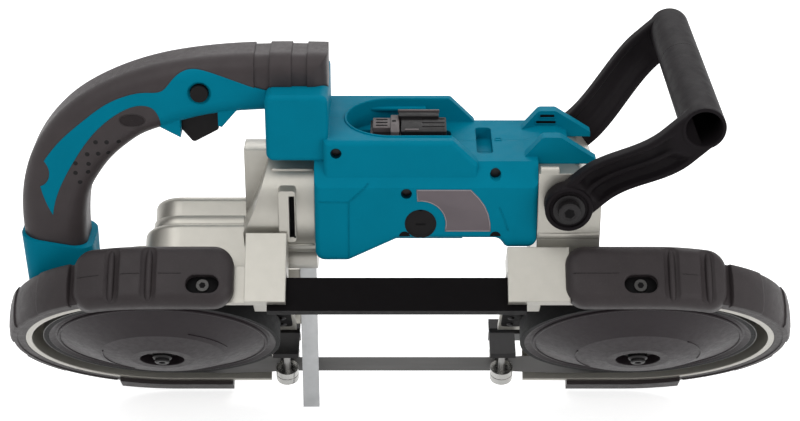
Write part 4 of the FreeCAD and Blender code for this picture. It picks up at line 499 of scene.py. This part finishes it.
def rating_plate():
    """Bare grey plate beside the brush cap, with a cut-out that follows the cap and a thin rim."""
    outline = [(28.6, 97.6), (57.5, 97.6), (57.2, 103.5), (55.9, 110.0), (53.4, 116.0),
               (49.7, 121.4), (44.6, 127.0), (10.3, 127.0)]
    outline += arc(CAP_PLACE, 15.8, 98.0, -12.0, 12)
    shape = slab(outline, near_face, HOUSING_FACE + 0.2, HOUSING_FACE - 0.3, 0.2)
    piece("rating_plate", *shape, "dark_plastic", look="plate_grey")
    rim = [near_face(a, b, HOUSING_FACE - 0.2) for a, b in inset(outline, 0.5)]
    piece("rating_plate_rim", *tube(rim, 0.28, 6, True), "dark_plastic", look="plate_edge")


def brush_cap_faces():
    """Domed face of each brush cap, with a black patch painted as the shade in its short slot for a
    coin.
    """
    faces = []
    slots = []
    x, z = CAP_PLACE
    for hand in (-1, 1):
        faces.append(lathe(CAP_DOME, level(x, hand * HOUSING_HALF, z), ACROSS * hand, 40))
        slot = rectangle(x - 3.2, x + 3.2, z - 0.7, z + 0.7, 0.6)
        slots.append(slab(slot, near_face, hand * (HOUSING_HALF + 0.3),
                          hand * (HOUSING_HALF + 0.78), 0.1))
    piece("brush_cap_faces", *joined(faces), "dark_plastic")
    # Painted shade: a flat black patch stands in for the dark inside of each coin slot.
    piece("brush_cap_slot_shade", *joined(slots), "dark_plastic", look="painted_shade_black")


def panel_lines():
    """Mould lines on the sides of the housing, and black half discs painted as the shade in its
    half holes.
    """
    lines = []
    holes = []
    for node, hand in (("housing_near", -1), ("housing_far", 1)):
        lines.append(seam(node, [(-32.6, 79.0), (-32.1, 118.4), (-20.0, 130.3)], hand, 0.5))
        lines.append(seam(node, [(-50.3, 118.4), (-32.1, 118.4)], hand, 0.5))
        lines.append(seam(node, [(63.0, 114.2), (66.0, 107.0), (68.4, 98.6)], hand, 0.5))
        for x in (2.9, 60.5):
            half = arc((x, 94.2), 3.4, 0.0, 180.0, 12)
            holes.append(slab(half, near_face, hand * (HOUSING_HALF - 0.4),
                              hand * (HOUSING_HALF + 0.12), 0.05))
    piece("panel_lines", *joined(lines), "teal_moulding")
    # Painted shade: the black half discs stand in for the dark inside of the half holes.
    piece("edge_hole_shade", *joined(holes), "dark_plastic", look="painted_shade_black")


def screw_well_shade():
    """Dark teal liner in each screw hole on the near side of the housing, painted as the shade on
    the hole's wall.
    """
    well_shades = []
    for x, z in SCREW_PLACES:
        rim = arc((x, z), 4.3, 0.0, 348.0, 29)
        mouth = level(x, 0.0, z)
        mouth.y = max(on_surface("housing_near", a, b, -1)[0].y for a, b in rim)
        well_shades.append(lathe(SCREW_WELL, mouth, ACROSS, 32, True))
    # Painted shade: the liners darken the walls of the screw holes, which are teal moulding.
    piece("screw_well_shade", *joined(well_shades), "teal_moulding", look="painted_shade_teal")


def bay_fittings():
    """Rails along the bay's walls and the blocks of the battery terminal."""
    parts = []
    for hand in (-1, 1):
        outline = rectangle(-22.0, 17.0, 151.2, 153.4, 0.6)
        parts.append(slab(outline, near_face, hand * 29.2, hand * 25.6, 0.5))
    piece("bay_rails", *joined(parts), "teal_moulding")
    foot = TERMINAL_FOOT
    blocks = [slab(rectangle(-1.0, 25.0, 6.6, 15.4, 1.0), from_above, foot, 156.0, 0.5),
              slab(rectangle(0.6, 29.6, -14.0, 9.0, 1.0), from_above, foot, 154.4, 0.5)]
    piece("terminal_tower", *joined(blocks), "dark_plastic")
    lips = [slab(rectangle(-1.4, 25.4, 14.0, 15.8, 0.6), from_above, 155.0, 156.9, 0.3),
            slab(rectangle(3.0, 12.0, -12.5, -10.5, 0.5), from_above, 154.2, 154.9, 0.2)]
    piece("terminal_lip", *joined(lips), "dark_plastic", look="socket_grey")
    blocks = [slab(rectangle(-17.5, -2.5, -3.0, 13.0, 0.8), from_above, foot, 152.2, 0.4),
              slab(rectangle(-6.0, -0.4, -13.0, 14.5, 0.8), from_above, foot, 153.6, 0.4)]
    piece("terminal_sockets", *joined(blocks), "dark_plastic", look="socket_grey")
    slots = []
    blades = []
    for y in (0.6, 5.2, 9.8):
        outline = rectangle(-15.5, -8.0, y - 0.9, y + 0.9, 0.5)
        slots.append(slab(outline, from_above, 152.0, 152.35, 0.1))
    slots.append(slab(rectangle(-5.0, -2.6, 3.0, 6.0, 0.5), from_above, 153.4, 153.75, 0.1))
    for y in (-6.0, 0.0, 6.0):
        outline = rectangle(14.0, 28.6, y - 0.8, y + 0.8, 0.5)
        slots.append(slab(outline, from_above, 154.2, 154.55, 0.1))
        outline = rectangle(15.2, 28.4, y - 0.3, y + 0.3, 0.2)
        blades.append(slab(outline, from_above, 149.0, 154.3, 0.1))
    # Painted shade: the black patches on the blocks stand in for the dark inside of the terminal's
    # slots.
    piece("terminal_slot_shade", *joined(slots), "dark_plastic", look="painted_shade_black")
    contacts = piece("contact_blades", *joined(blades), "contact_brass")
    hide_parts("battery_contacts")


def bay_rim():
    """Rolled edge round the open top of the battery bay."""
    path = [(32.0, -30.0), (20.0, -30.0), (8.0, -30.0)] + arc((-5.0, 0.0), 30.0, 270.0, 90.0, 36)
    path += [(8.0, 30.0), (20.0, 30.0), (32.0, 30.0)]
    points = []
    for x, y in path:
        node = "housing_near" if y < 0 else "housing_far"
        hit = cast(node, level(x, y, ABOVE_SAW), DOWN)
        if hit:
            points.append(hit[0])
    piece("bay_rim", *tube(points, 0.9, 8), "teal_moulding")


def vents():
    """Black patches painted as the shade in two slots through the far rib of the hump, rims round
    them, and a raised mark on the shelf.
    """
    slots = []
    rims = []
    for x_from, x_to, z_from, z_to in ((90.5, 100.5, 150.4, 153.0), (88.0, 101.5, 146.0, 148.6)):
        outline = rectangle(x_from, x_to, z_from, z_to, 0.9)
        slots.append(slab(outline, near_face, RIB_FACE + 0.3, RIB_FACE - 0.05, 0.1))
        path = [near_face(a, b, RIB_FACE) for a, b in outline]
        rims.append(tube(path, 0.45, 8, True))
    # Painted shade: the black patches stand in for the dark inside of the vent slots.
    piece("vent_slot_shade", *joined(slots), "dark_plastic", look="painted_shade_black")
    piece("vent_rims", *joined(rims), "teal_moulding")
    mark = [from_above(a, b, SHELF_HEIGHT) for a, b in rectangle(61.2, 65.0, -0.8, 3.0, 0.4)]
    piece("shelf_mark", *tube(mark, 0.4, 8, True), "teal_moulding")


# Main handle

PIT_PLACES = ((-192.6, 149.2), (-185.6, 149.2), (-178.0, 149.2), (-198.5, 140.8), (-191.5, 141.2),
              (-185.2, 141.2), (-206.4, 134.5), (-198.1, 134.1), (-206.9, 127.8), (-198.9, 128.2),
              (-204.5, 121.1))
PIT = ((0.3, 0.05), (1.0, 0.08), (1.3, 0.12), (1.5, 0.0), (1.5, -0.4))
THUMB_PLACE = (-168.6, 164.2)
THUMB_REACH = (9.1, 4.6)


def handle_marks():
    """Small dark discs painted as the shade of pits, and a shallow thumb patch, in the rubber of
    the main handle.
    """
    pit_shades = []
    patches = []
    rims = []
    for hand in (-1, 1):
        for x, z in PIT_PLACES:
            hit = on_surface("handle_grip", x, z, hand)
            if hit:
                pit_shades.append(lathe(PIT, *hit, 14))
        rows = []
        for share in (0.05, 0.35, 0.65, 0.9, 1.0):
            row = []
            for a, b in arc((0.0, 0.0), share, 0, 345, 23):
                lift = 0.12 if share < 1 else -0.2
                x = THUMB_PLACE[0] + THUMB_REACH[0] * a
                z = THUMB_PLACE[1] + THUMB_REACH[1] * b
                row.append(on_surface("handle_grip", x, z, hand, lift)[0])
            rows.append(row)
        patches.append(rings_mesh(rows, caps=False))
        rims.append(tube(rows[-2], 0.3, 8, True))
    # Painted shade: each pit is a dark disc rather than a hollow.
    piece("handle_pit_shade", *joined(pit_shades), "handle_rubber", look="painted_pit_shade")
    piece("thumb_patches", *joined(patches), "handle_rubber", look="dent_rubber")
    piece("thumb_rims", *joined(rims), "handle_rubber")


# Bumpers

PAD_REACH = 103.0
PAD_MIDDLE = 7.0
BAND_OUTER = 99.0
BAND_ROLL = ((96.5, -9.6), (99.1, -9.4), (100.4, -7.4), (101.3, -2.0), (101.6, 4.5), (101.3, 11.0),
             (100.4, 16.4), (99.1, 18.4), (96.5, 18.6))
BAND_BLOCKS = ((-60.0, -44.0, 1.2), (-44.0, -24.0, 0.0), (-24.0, -4.0, 1.0), (-4.0, 16.0, 0.0),
               (16.0, 40.0, 1.0), (40.0, 64.0, 0.0))
BUMPER_SCREWS = (-124.0, 151.0)
BEFORE_PADS = -140.0


def pad_near(side, x):
    """How far the pad of a bumper reaches at x."""
    past = max(0.0, side * x - HALF_SPAN)
    return -math.sqrt(PAD_REACH ** 2 - past ** 2)


def bumper_trim():
    """Mould line along the pads, ribs in their scallops, and floor and socket of each screw,
    painted black as their shade.
    """
    lines = []
    ribs = []
    floor_shades = []
    for side, ends, screw, grooves in ((-1, (-204.0, -109.0), BUMPER_SCREWS[0], (-158.0, -182.0)),
                                       (1, (109.0, 204.0), BUMPER_SCREWS[1], (171.0, 195.0))):
        run = []
        for x in steps(*ends, 40):
            in_groove = min(abs(x - groove) for groove in grooves) < 5.4
            if abs(x - screw) < 11.5 or in_groove:
                if len(run) > 2:
                    lines.append(tube(run, 0.32, 6))
                run = []
            else:
                run.append(tilted(x, pad_near(side, x) + 0.05, PAD_MIDDLE))
        if len(run) > 2:
            lines.append(tube(run, 0.32, 6))
        for groove in grooves:
            near = pad_near(side, groove)
            path = [tilted(groove, near + 5.5, -10.5), tilted(groove, near + 3.4, -7.0),
                    tilted(groove, near + 2.7, 0.0), tilted(groove, near + 2.7, 14.0),
                    tilted(groove, near + 3.4, 20.0), tilted(groove, near + 5.5, 24.0)]
            ribs.append(tube(line(path, 4), 2.1, 10))
        floor = rectangle(screw - 10.3, screw + 10.3, -5.8, 5.8, 5.6)
        floor_shades.append(slab(floor, lambda a, b, h: tilted(a, h, b), -97.8, -98.4, 0.2))
    piece("bumper_lines", *joined(lines), "bumper_rubber")
    piece("bumper_ribs", *joined(ribs), "bumper_rubber")
    # Painted shade: black floors stand in for the shade at the bottom of the screw recesses.
    piece("screw_recess_shade", *joined(floor_shades), "bumper_rubber", look="painted_shade_black")
    sockets = []
    inwards = (tilted(0, 1, 0) - tilted(0, 0, 0)).normalized()
    for x in BUMPER_SCREWS:
        head, _ = cast("bumper_screws", tilted(x, BEFORE_PADS, 0.0), inwards)
        sockets.append(lathe([(0.2, 0.08), (2.1, 0.08), (2.1, -0.4)], head, -inwards, 6))
    # Painted shade: black hexagons stand in for the dark inside of the screw sockets.
    piece("bumper_socket_shade", *joined(sockets), "zinc_steel", look="painted_shade_black")


def band_rolls():
    """Rounded outer face of each bumper's band, with flat blocks along it."""
    bands = []
    for side in (-1, 1):
        for start, end, lift in BAND_BLOCKS:
            rings = []
            for degrees in steps(start, end, 14):
                ring = []
                turn = math.radians(degrees)
                for radius, k in BAND_ROLL:
                    reach = radius + (lift if radius > BAND_OUTER else 0.0)
                    x = side * (HALF_SPAN + reach * math.cos(turn))
                    ring.append(tilted(x, reach * math.sin(turn), k))
                rings.append(ring)
            bands.append(rings_mesh(rings))
    piece("band_rolls", *joined(bands), "bumper_rubber")


# Front handle and bracket

PIVOT = (105.5, 118.0)
ARM_RUN = (75.0, 69.5)
ARM_STEP = 0.19
ARM_INNER = 45.8
ARM_SPREAD = 33.7
ARM_FACE = 5.3
ARM_RINGS = 60
CHANNEL_LEAST = 0.2
CHANNEL_OUTER = 6.0
CHANNEL_INNER = 2.0
PIVOT_HEAD = 58.0
GRIP_WALL = 12.2
ARM_BOSS = ((4.5, -5.4), (13.9, -5.4), (15.0, -4.3), (15.0, 6.0), (14.7, 6.7), (14.0, 7.0),
            (12.9, 7.0), (12.3, 6.7), (12.1, 6.1), (11.9, 5.5), (4.5, 5.4))
GRIP_END = ((11.0, 84.2), (11.2, 84.9), (11.8, 85.2), (12.6, 85.2), (13.1, 84.9), (13.3, 84.2))
GRIP_SIDE = ((13.3, 82.0), (13.3, 21.0), (13.3, 20.1), (13.2, 20.0), (13.2, 19.6), (13.3, 19.5),
             (13.3, 18.6), (13.3, -82.0))
PIVOT_LIP = ((7.0, -0.6), (6.9, 0.1), (6.2, 0.45), (4.6, 0.45), (3.9, 0.1), (3.9, -0.6))
BRACKET_BOSS = ((0.4, 0.0), (3.2, 0.0), (3.7, 0.5), (3.7, 11.5), (3.2, 12.0), (0.4, 12.0))


def arm_point(share, aside, out, hand):
    """Point on an arm: share along it, aside in its plane, out across the saw from its middle."""
    clear = min(max((share - ARM_STEP) / (1 - 2 * ARM_STEP), 0), 1)
    across = ARM_INNER + ARM_SPREAD * clear * clear * (3 - 2 * clear)
    lean = math.atan2(ARM_RUN[1], ARM_RUN[0])
    x = PIVOT[0] + ARM_RUN[0] * share - aside * math.sin(lean)
    z = PIVOT[1] + ARM_RUN[1] * share + aside * math.cos(lean)
    return level(x, hand * (across + out), z)


def channel(depth):
    """Half of one side of an arm's section, (aside, out), from its edge to its middle rib."""
    floor = ARM_FACE - depth
    return [(13.0, 2.4), (12.9, 3.9), (12.3, 4.9), (11.3, ARM_FACE),
            (10.4, ARM_FACE - depth * 0.02), (9.6, ARM_FACE - depth * 0.12),
            (9.1, ARM_FACE - depth * 0.4), (8.8, floor + depth * 0.25),
            (8.1, floor + depth * 0.06), (6.9, floor), (3.2, floor), (2.2, floor + depth * 0.12),
            (1.5, floor + depth * 0.38), (0.6, floor + depth * 0.45)]


def arm_section(outer, inner):
    """Section of an arm: rounded lips, a channel on each side and a rib along it."""
    near = channel(outer)
    far = channel(inner)
    points = near + [(-a, o) for a, o in reversed(near)]
    return points + [(-a, -o) for a, o in far] + [(a, -o) for a, o in reversed(far)]


def arm_shape(hand):
    """One arm, from inside its pivot boss to inside the wall of the grip."""
    length = math.hypot(*ARM_RUN)
    rings = []
    for share in steps(0.0, 1.0, ARM_RINGS):
        fade = min(max((share - 0.15) / 0.08, 0), 1) * min(max((0.93 - share) / 0.12, 0), 1)
        fade = fade * fade * (3 - 2 * fade)
        ring = []
        section = arm_section(CHANNEL_LEAST + CHANNEL_OUTER * fade,
                              CHANNEL_LEAST + CHANNEL_INNER * fade)
        for aside, out in section:
            reach = length - math.sqrt(max(GRIP_WALL ** 2 - aside ** 2, 0.0))
            ring.append(arm_point(share * reach / length, aside, out, hand))
        rings.append(ring)
    return rings_mesh(rings)


def front_handle_body():
    """Front handle: two channel arms, round bosses at their pivots and a hollow grip."""
    parts = []
    for hand in (-1, 1):
        parts.append(arm_shape(hand))
        middle = level(PIVOT[0], hand * ARM_INNER, PIVOT[1])
        parts.append(lathe(ARM_BOSS, middle, ACROSS * hand, 56, True))
    grip = GRIP_END + GRIP_SIDE + tuple((radius, -y) for radius, y in reversed(GRIP_END))
    middle = level(PIVOT[0] + ARM_RUN[0], 0.0, PIVOT[1] + ARM_RUN[1])
    parts.append(lathe(grip, middle, ACROSS, 64, True))
    shell = piece("front_handle_shell", *joined(parts), "front_grip", "front_handle")
    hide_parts("front_handle")


def pivot_heads():
    """Hexagon sockets painted black as their shade, and rounded lips, on the heads of the pivot
    bolts.
    """
    sockets = []
    lips = []
    for hand in (-1, 1):
        head = level(PIVOT[0], hand * PIVOT_HEAD, PIVOT[1])
        sockets.append(lathe([(0.2, 0.08), (3.4, 0.08), (3.4, -0.5)], head, ACROSS * hand, 6))
        lips.append(lathe(PIVOT_LIP, head, ACROSS * hand, 36, True))
    # Painted shade: black hexagons stand in for the dark inside of the bolt sockets.
    piece("pivot_socket_shade", *joined(sockets), "dark_screws", look="painted_shade_black")
    piece("pivot_lips", *joined(lips), "dark_screws")


def bracket_trim():
    """Round boss along the top edge of the bracket and a band across its column, on both sides."""
    parts = []
    for hand in (-1, 1):
        start = level(88.0, hand * 36.3, 136.9)
        parts.append(lathe(BRACKET_BOSS, start, Vector((1, 0, 0)), 28))
        outline = rectangle(87.6, 126.6, 91.4, 95.6, 0.8)
        parts.append(slab(outline, near_face, hand * 39.8, hand * 40.6, 0.5))
    piece("bracket_trim", *joined(parts), "cast_aluminium")


# Gear case

BARREL_HEIGHT = 103.0
BEAD_REACH = 36.4
CROSS_PLACE = (-142.0, -53.03)
TOWER_RADIUS = 19.0
TOWER_BAND = ((-0.2, 49.8), (0.7, 50.0), (1.1, 50.6), (1.1, 56.3), (0.7, 56.9), (-0.2, 57.1))


def case_beads():
    """Ribs on the barrel of the gear case, a black patch painted as the shade in its slot, and a
    band round its cross-shaft tower.
    """
    beads = []
    for hand in (-1, 1):
        for degrees in (52.0, -36.0, -52.0):
            angle = math.radians(degrees)
            y = hand * BEAD_REACH * math.cos(angle)
            z = BARREL_HEIGHT + BEAD_REACH * math.sin(angle)
            beads.append(tube([level(x, y, z) for x in (-81.0, -68.0, -55.5)], 1.2, 10))
    piece("case_beads", *joined(beads), "cast_aluminium")
    centre_x, centre_w = CROSS_PLACE
    path = [(x, centre_w - TOWER_RADIUS, 0, -1) for x in (-101.0, -127.0)]
    for a, b in arc((0.0, 0.0), 1.0, 270.0, 90.0, 40):
        path.append((centre_x + TOWER_RADIUS * a, centre_w + TOWER_RADIUS * b, a, b))
    path += [(x, centre_w + TOWER_RADIUS, 0, 1) for x in (-127.0, -101.0)]
    rings = [[tilted(x + out * a, w + out * b, k) for out, k in TOWER_BAND] for x, w, a, b in path]
    piece("tower_band", *rings_mesh(rings), "cast_aluminium")
    # Painted shade: a thin black skin stands in for the dark inside of the barrel's slot.
    slot = skin("gear_case", [-70.2, -69.0, -67.4, -66.3], steps(91.2, 122.4, 16), -1, 0.3, 0.12)
    piece("barrel_slot_shade", *slot, "cast_aluminium", look="painted_shade_black")


# Wheels

HUB_NUB = ((4.9, -0.5), (4.9, 1.9), (4.3, 2.6), (2.6, 2.6), (2.1, 2.2), (2.0, 0.6), (0.3, 0.6))
HUB_FACE = -19.4
BEFORE_WHEELS = -80.0
OUT_OF_PLANE = (tilted(0, 0, 1) - tilted(0, 0, 0)).normalized()


def hub_parts():
    """Hollow end of each axle, in the hub of its wheel."""
    for name, x, body in (("drive", -HALF_SPAN, "drive_wheel"),
                          ("idler", HALF_SPAN, "idler_carriage")):
        nub = lathe(HUB_NUB, tilted(x, 0, HUB_FACE), -OUT_OF_PLANE, 32)
        piece(f"{name}_hub_nub", *nub, "dark_screws", body)


def on_wheel(node, path):
    """Points of a path in the wheels' plane, moved onto the near face of a wheel."""
    return [cast(node, tilted(x, w, BEFORE_WHEELS), OUT_OF_PLANE)[0] for x, w in path]


def wheel_marks():
    """Curved ridges on the dished face of each wheel and a rounded bead at its edge."""
    for name, x, arcs in (("drive_wheel", -HALF_SPAN, ((40.0, 125.0, 195.0), (46.0, -62.0, -15.0))),
                          ("idler_wheel", HALF_SPAN, ((42.0, -45.0, 12.0), (42.0, 135.0, 192.0)))):
        ridges = []
        for radius, start, end in arcs:
            run = on_wheel(name, arc((x, 0.0), radius, start, end, 24))
            ridges.append(tube(run, 0.55, 8))
        edge = on_wheel(name, arc((x, 0.0), 69.5, 0.0, 356.0, 89))
        ridges.append(tube(edge, 1.1, 10, True))
        piece(f"{name}_marks", *joined(ridges), "dark_casting", name)


# Backs of the pans and liners

BEHIND_PANS = 140.0
PAN_BACK_DEPTH = 124.0
BACK_COVERS = ("gear_case", "handle_near", "handle_far", "front_bracket", "rear_bumper",
               "front_bumper")
COVER_SCREW = ((0.3, 2.0), (2.7, 2.0), (3.3, 1.5), (3.3, -0.3))
COVER_SOCKET = ((0.2, 2.06), (1.7, 2.06), (1.7, 1.6))
LINER_RIVET = ((0.2, 1.3), (1.4, 1.1), (2.2, 0.4), (2.4, -0.3))
LINER_FACE = 10.8


def run_on_pan(path, size):
    """Beads along a path on the back of the pans, only where the back lies open."""
    runs = []
    run = []
    for x, w in path:
        start = tilted(x, w, BEHIND_PANS)
        hit = cast("main_frame", start, -OUT_OF_PLANE)
        depth = (start - hit[0]).length if hit else 0.0
        open_here = hit and abs(depth - PAN_BACK_DEPTH * MM) < 0.8 * MM
        for cover in BACK_COVERS:
            above = cast(cover, start, -OUT_OF_PLANE)
            if above and (start - above[0]).length < depth:
                open_here = False
        if open_here:
            run.append(hit[0])
        if len(run) > 4 and (not open_here or (x, w) == path[-1]):
            runs.append(tube(run, size, 8))
        if not open_here:
            run = []
    return runs


def back_ribs():
    """Low ribs and a rounded rim on the back of each pan, and screws on the gear cover with black
    painted shade in their sockets.
    """
    ribs = []
    for side, middle in ((-1, 180.0), (1, 0.0)):
        x = side * HALF_SPAN
        for degrees in (-75.0, -50.0, -25.0, 0.0, 25.0, 50.0, 75.0):
            turn = math.radians(middle + degrees)
            path = [(x + r * math.cos(turn), r * math.sin(turn)) for r in steps(34.0, 82.0, 24)]
            ribs += run_on_pan(path, 1.5)
        for radius, count, size in ((85.5, 88, 1.8), (58.0, 66, 1.2)):
            path = arc((x, 0.0), radius, middle - 88.0, middle + 88.0, count)
            ribs += run_on_pan(path, size)
    piece("back_ribs", *joined(ribs), "cast_aluminium")
    heads = []
    sockets = []
    for degrees in range(20, 380, 60):
        turn = math.radians(degrees)
        place = tilted(-HALF_SPAN + 40.0 * math.cos(turn), 40.0 * math.sin(turn), BEHIND_PANS)
        hit = cast("gear_case", place, -OUT_OF_PLANE)
        if hit and hit[1].dot(OUT_OF_PLANE) > 0.98:
            heads.append(lathe(COVER_SCREW, hit[0], OUT_OF_PLANE, 24))
            sockets.append(lathe(COVER_SOCKET, hit[0], OUT_OF_PLANE, 6))
    piece("cover_screws", *joined(heads), "dark_screws", look="screw_steel")
    # Painted shade: black hexagons stand in for the dark inside of the screw sockets.
    piece("cover_socket_shade", *joined(sockets), "dark_screws", look="painted_shade_black")


def pan_liners():
    """Dark sheet against the frame beside each wheel, with rivets and a slot painted black as its
    shade.
    """
    sheets = []
    rivets = []
    slots = []
    for x_from, x_to in ((-99.0, -74.0), (69.5, 99.0)):
        outline = rectangle(x_from, x_to, -54.0, 24.0, 3.0)
        sheets.append(slab(outline, tilted, 12.1, LINER_FACE, 0.3))
        edge = x_to - 6.0 if x_to < 0 else x_from + 6.0
        for w in (-44.0, -20.0, 4.0, 18.0):
            rivets.append(lathe(LINER_RIVET, tilted(edge, w, LINER_FACE), -OUT_OF_PLANE, 20))
        slot = rectangle(edge - 1.6, edge + 1.6, -37.0, -26.0, 1.5)
        slots.append(slab(slot, tilted, 10.9, 10.6, 0.1))
    piece("pan_liners", *joined(sheets), "dark_casting", look="black_coat")
    piece("liner_rivets", *joined(rivets), "dark_screws")
    # Painted shade: the black patches stand in for the dark inside of the liners' slots.
    piece("liner_slot_shade", *joined(slots), "dark_screws", look="painted_shade_black")


rating_plate()
brush_cap_faces()
panel_lines()
screw_well_shade()
bay_fittings()
bay_rim()
vents()
handle_marks()
bumper_trim()
band_rolls()
front_handle_body()
pivot_heads()
bracket_trim()
case_beads()
hub_parts()
wheel_marks()
pan_liners()
back_ribs()


# Floor, light and camera

FLOOR_REACH = 6.0
FLOOR_DROP = 0.0005
FLOOR_GLOW = 0.7
WORLD_LEVEL = 0.42
LAMPS = (("key", (-0.7, -0.9, 1.5), (0, 0, 0.12), (1.2, 0.9), 7.8),
         ("fill", (1.3, -0.9, 0.8), (0, 0, 0.12), (0.9, 0.9), 8.0),
         ("rim", (0.2, 1.4, 1.1), (0, 0, 0.15), (1.4, 0.5), 6.5),
         ("top", (0.1, 0.1, 1.7), (0, 0, 0.15), (1.4, 0.9), 5.4))
CAMERA_RISE = math.radians(26.5)
CAMERA_LENS = 85.4
CAMERA_SENSOR = 36.0
CAMERA_DISTANCE = 1.284
CAMERA_LIFT = 0.0819


def seen_directly(tree):
    """One where a ray comes from the camera, a mirror surface or through glass."""
    path = tree.nodes.new("ShaderNodeLightPath")
    total = path.outputs["Is Camera Ray"]
    for name in ("Is Glossy Ray", "Is Transmission Ray"):
        most = tree.nodes.new("ShaderNodeMath")
        most.operation = "MAXIMUM"
        tree.links.new(total, most.inputs[0])
        tree.links.new(path.outputs[name], most.inputs[1])
        total = most.outputs["Value"]
    return total


def stage_floor():
    """Pale floor that looks white and keeps the shadow."""
    mesh = bpy.data.meshes.new("floor")
    corners = [(a * FLOOR_REACH, b * FLOOR_REACH, 0)
               for a, b in ((-1, -1), (1, -1), (1, 1), (-1, 1))]
    mesh.from_pydata(corners, [], [(0, 1, 2, 3)])
    floor = bpy.data.objects.new("floor", mesh)
    bpy.context.scene.collection.objects.link(floor)
    floor.location.z = -FLOOR_DROP
    graph = Graph("pale_floor")
    graph.shader.inputs["Roughness"].default_value = 0.9
    graph.shader.inputs["Specular IOR Level"].default_value = 0.1
    place = graph.add("ShaderNodeTexCoord").outputs["Object"]
    pale = graph.ramp(graph.noise(place, 8.0),
                      [(0.3, (0.90, 0.90, 0.90)), (0.7, (0.93, 0.93, 0.93))])
    graph.join(pale, graph.shader.inputs["Base Color"])
    graph.shader.inputs["Emission Color"].default_value = (1.0, 1.0, 1.0, 1.0)
    glow = graph.span(seen_directly(graph.tree), 0.0, FLOOR_GLOW, 0.0, 1.0)
    graph.join(glow, graph.shader.inputs["Emission Strength"])
    mesh.materials.append(graph.material)


def area_light(name, place, aim, size, power):
    """Soft lamp that looks at a point."""
    data = bpy.data.lights.new(name, "AREA")
    data.shape = "RECTANGLE"
    data.size, data.size_y = size
    data.energy = power
    lamp = bpy.data.objects.new(name, data)
    lamp.location = place
    lamp.rotation_mode = "QUATERNION"
    lamp.rotation_quaternion = (Vector(aim) - Vector(place)).to_track_quat("-Z", "Y")
    bpy.context.scene.collection.objects.link(lamp)


def world_light():
    """Even white surroundings."""
    world = bpy.data.worlds.new("studio")
    bpy.context.scene.world = world
    world.use_nodes = True
    tree = world.node_tree
    back = tree.nodes["Background"]
    back.inputs["Color"].default_value = (1.0, 1.0, 1.0, 1.0)
    blend = tree.nodes.new("ShaderNodeMapRange")
    blend.inputs["To Min"].default_value = WORLD_LEVEL
    blend.inputs["To Max"].default_value = 1.0
    tree.links.new(seen_directly(tree), blend.inputs["Value"])
    tree.links.new(blend.outputs["Result"], back.inputs["Strength"])


def photo_camera():
    """Camera at the photograph's viewing angle."""
    forward = Vector((0, math.cos(CAMERA_RISE), -math.sin(CAMERA_RISE)))
    upward = Vector((0, math.sin(CAMERA_RISE), math.cos(CAMERA_RISE)))
    middle = level(0, 0, 0)
    data = bpy.data.cameras.new("photo_view")
    data.lens = CAMERA_LENS
    data.sensor_width = CAMERA_SENSOR
    data.sensor_fit = "HORIZONTAL"
    data.clip_start = 0.05
    camera = bpy.data.objects.new("photo_view", data)
    camera.location = middle - forward * CAMERA_DISTANCE + upward * CAMERA_LIFT
    camera.rotation_mode = "QUATERNION"
    camera.rotation_quaternion = forward.to_track_quat("-Z", "Y")
    bpy.context.scene.collection.objects.link(camera)
    bpy.context.scene.camera = camera


stage_floor()
world_light()
for lamp in LAMPS:
    area_light(*lamp)
photo_camera()
bpy.context.scene.view_settings.view_transform = "Standard"
